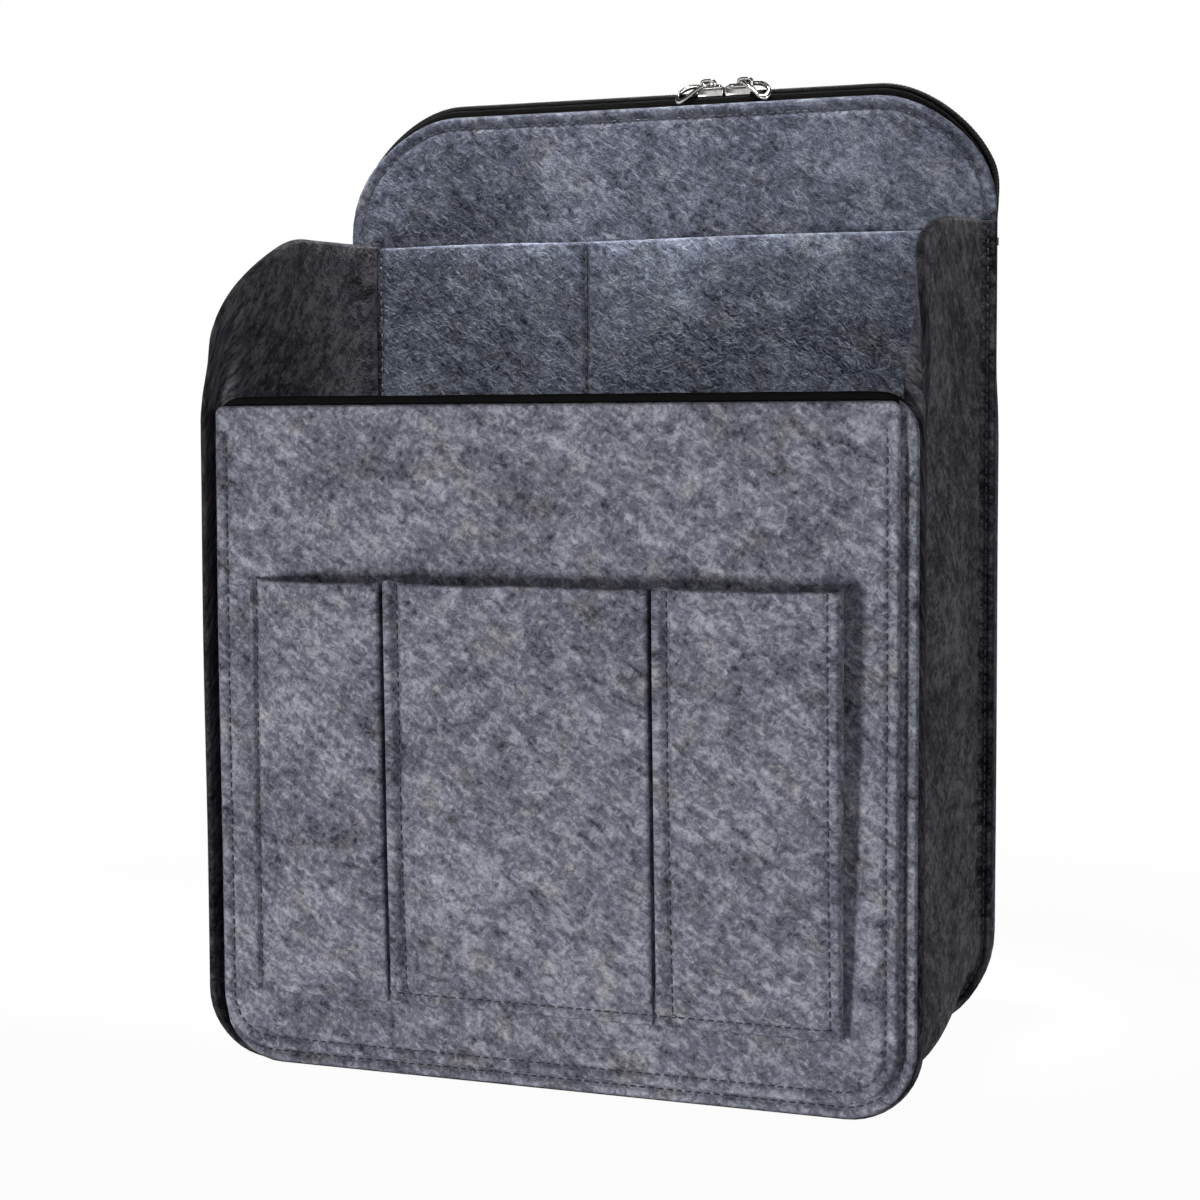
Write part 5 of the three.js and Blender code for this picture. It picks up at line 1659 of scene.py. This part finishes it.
class ORGANIZER_OT_stage(bpy.types.Operator):
    """Set up the pale floor, the soft lamps and the camera"""

    bl_idname = "organizer.stage"
    bl_label = "Stage"

    def execute(self, context):
        scene = context.scene
        values = scene.organizer_stage
        scene.view_settings.view_transform = "Standard"
        self.light_world(scene, values)
        self.lay_floor(scene, values)
        for name, lamp in LAMPS.items():
            self.hang_lamp(scene, f"{name}_lamp", getattr(values, name), *lamp)
        camera = bpy.data.objects.new("photo_camera", bpy.data.cameras.new("photo_camera"))
        camera.data.sensor_width = SENSOR
        camera.data.lens = values.lens
        camera.matrix_world = (
            Matrix.Translation(values.camera_place) @ Matrix.Rotation(values.yaw, 4, "Z")
            @ Matrix.Rotation(math.pi / 2 - values.pitch, 4, "X") @ Matrix.Rotation(values.roll, 4, "Z"))
        scene.collection.objects.link(camera)
        scene.camera = camera
        return {"FINISHED"}

    def ray(self, wire, kind):
        return wire.node("ShaderNodeLightPath", {}, {}, f"Is {kind} Ray")

    def seen(self, wire):
        """1 for what the camera sees directly, in a reflection or through glass."""
        return self.ray(wire, "Camera").most(self.ray(wire, "Glossy")).most(self.ray(wire, "Transmission"))

    def light_world(self, scene, values):
        world = bpy.data.worlds.new("studio")
        world.use_nodes = True
        world.node_tree.nodes.clear()
        wire = Wire(world.node_tree)
        grey = (values.ambient, values.ambient, values.ambient * AMBIENT_BLUE, 1)
        way = wire.node("ShaderNodeTexCoord", {}, {}, "Generated")
        dark_above = way.part("Z").ramp(*DARK_ABOVE)
        side_flags = abs(abs(way.part("X")) - FLAG_PLACE).ramp(*SIDE_FLAGS)
        bright = 1 - self.ray(wire, "Glossy") * dark_above.most(side_flags)
        shown = self.seen(wire).mix(grey, bright.mix((0, 0, 0, 1), (1, 1, 1, 1)))
        light = wire.node("ShaderNodeBackground", {}, {"Color": shown, "Strength": 1.0})
        wire.node("ShaderNodeOutputWorld", {}, {"Surface": light})
        scene.world = world

    def lay_floor(self, scene, values):
        material, wire = blank_material("pale_floor")
        place = wire.node("ShaderNodeTexCoord", {}, {}, "Object")
        far = wire.node("ShaderNodeVectorMath", {"operation": "LENGTH"}, {0: place}, "Value")
        paint = wire.node("ShaderNodeBsdfPrincipled", {}, {
            "Base Color": opaque(values.floor), "Specular IOR Level": 0.2,
            "Roughness": place.noise(18.0, 3.0).ramp(0.3, 0.7, 0.55, 0.65)})
        white = wire.node("ShaderNodeEmission", {}, {"Color": (1, 1, 1, 1), "Strength": 1.0})
        fade = far.ramp(*FLOOR_FADE) * self.seen(wire)
        wire.node("ShaderNodeOutputMaterial", {}, {
            "Surface": wire.node("ShaderNodeMixShader", {}, {0: fade, 1: paint, 2: white})})
        mesh = bpy.data.meshes.new("floor")
        level = CAD_BOX[0].z - FLOOR_DROP
        corners = [(x * FLOOR_REACH, y * FLOOR_REACH, level) for x, y in ((-1, -1), (1, -1), (1, 1), (-1, 1))]
        mesh.from_pydata(corners, [], [(0, 1, 2, 3)])
        mesh.materials.append(material)
        floor = bpy.data.objects.new("floor", mesh)
        floor.visible_shadow = False  # the key lamp stands below its level
        scene.collection.objects.link(floor)

    def hang_lamp(self, scene, name, power, place, target, size, spread):
        lamp = bpy.data.lights.new(name, "AREA")
        lamp.spread = math.radians(spread)
        lamp.shape = "RECTANGLE"
        lamp.size, lamp.size_y = size
        lamp.energy = power
        holder = bpy.data.objects.new(name, lamp)
        holder.location = place
        holder.rotation_euler = (Vector(target) - Vector(place)).to_track_quat("-Z", "Y").to_euler()
        scene.collection.objects.link(holder)


OPERATORS = (
    ORGANIZER_OT_flat_panels, ORGANIZER_OT_rear_panel, ORGANIZER_OT_side_gusset, ORGANIZER_OT_front_pockets,
    ORGANIZER_OT_slip_pocket, ORGANIZER_OT_black_tapes, ORGANIZER_OT_zip_chain, ORGANIZER_OT_sliders,
    ORGANIZER_OT_stitches, ORGANIZER_OT_stage,
)


class ORGANIZER_PT_sidebar(bpy.types.Panel):
    """Sizes, colours and building steps of the organizer"""

    bl_idname = "ORGANIZER_PT_sidebar"
    bl_label = "Felt Bag Organizer"
    bl_space_type = "VIEW_3D"
    bl_region_type = "UI"
    bl_category = "Organizer"

    def draw(self, context):
        for name in SETTINGS:
            group = getattr(context.scene, name)
            box = self.layout.box()
            for value in group.__annotations__:
                box.prop(group, value)
        for operator in OPERATORS:
            self.layout.operator(operator.bl_idname)


SETTINGS = {
    "organizer_felt": FeltSettings, "organizer_stitch": StitchSettings,
    "organizer_zip": ZipSettings, "organizer_stage": StageSettings,
}
CLASSES = (*SETTINGS.values(), *OPERATORS, ORGANIZER_PT_sidebar)


def register():
    for part in CLASSES:
        bpy.utils.register_class(part)
    for name, group in SETTINGS.items():
        setattr(bpy.types.Scene, name, PointerProperty(type=group))


def unregister():
    for name in SETTINGS:
        delattr(bpy.types.Scene, name)
    for part in reversed(CLASSES):
        bpy.utils.unregister_class(part)


def main():
    register()
    bpy.ops.organizer.flat_panels()
    bpy.ops.organizer.rear_panel()
    bpy.ops.organizer.side_gusset()
    bpy.ops.organizer.front_pockets()
    bpy.ops.organizer.slip_pocket()
    bpy.ops.organizer.black_tapes()
    bpy.ops.organizer.zip_chain()
    bpy.ops.organizer.sliders()
    bpy.ops.organizer.stitches()
    bpy.ops.organizer.stage()


if __name__ == "__main__":
    main()
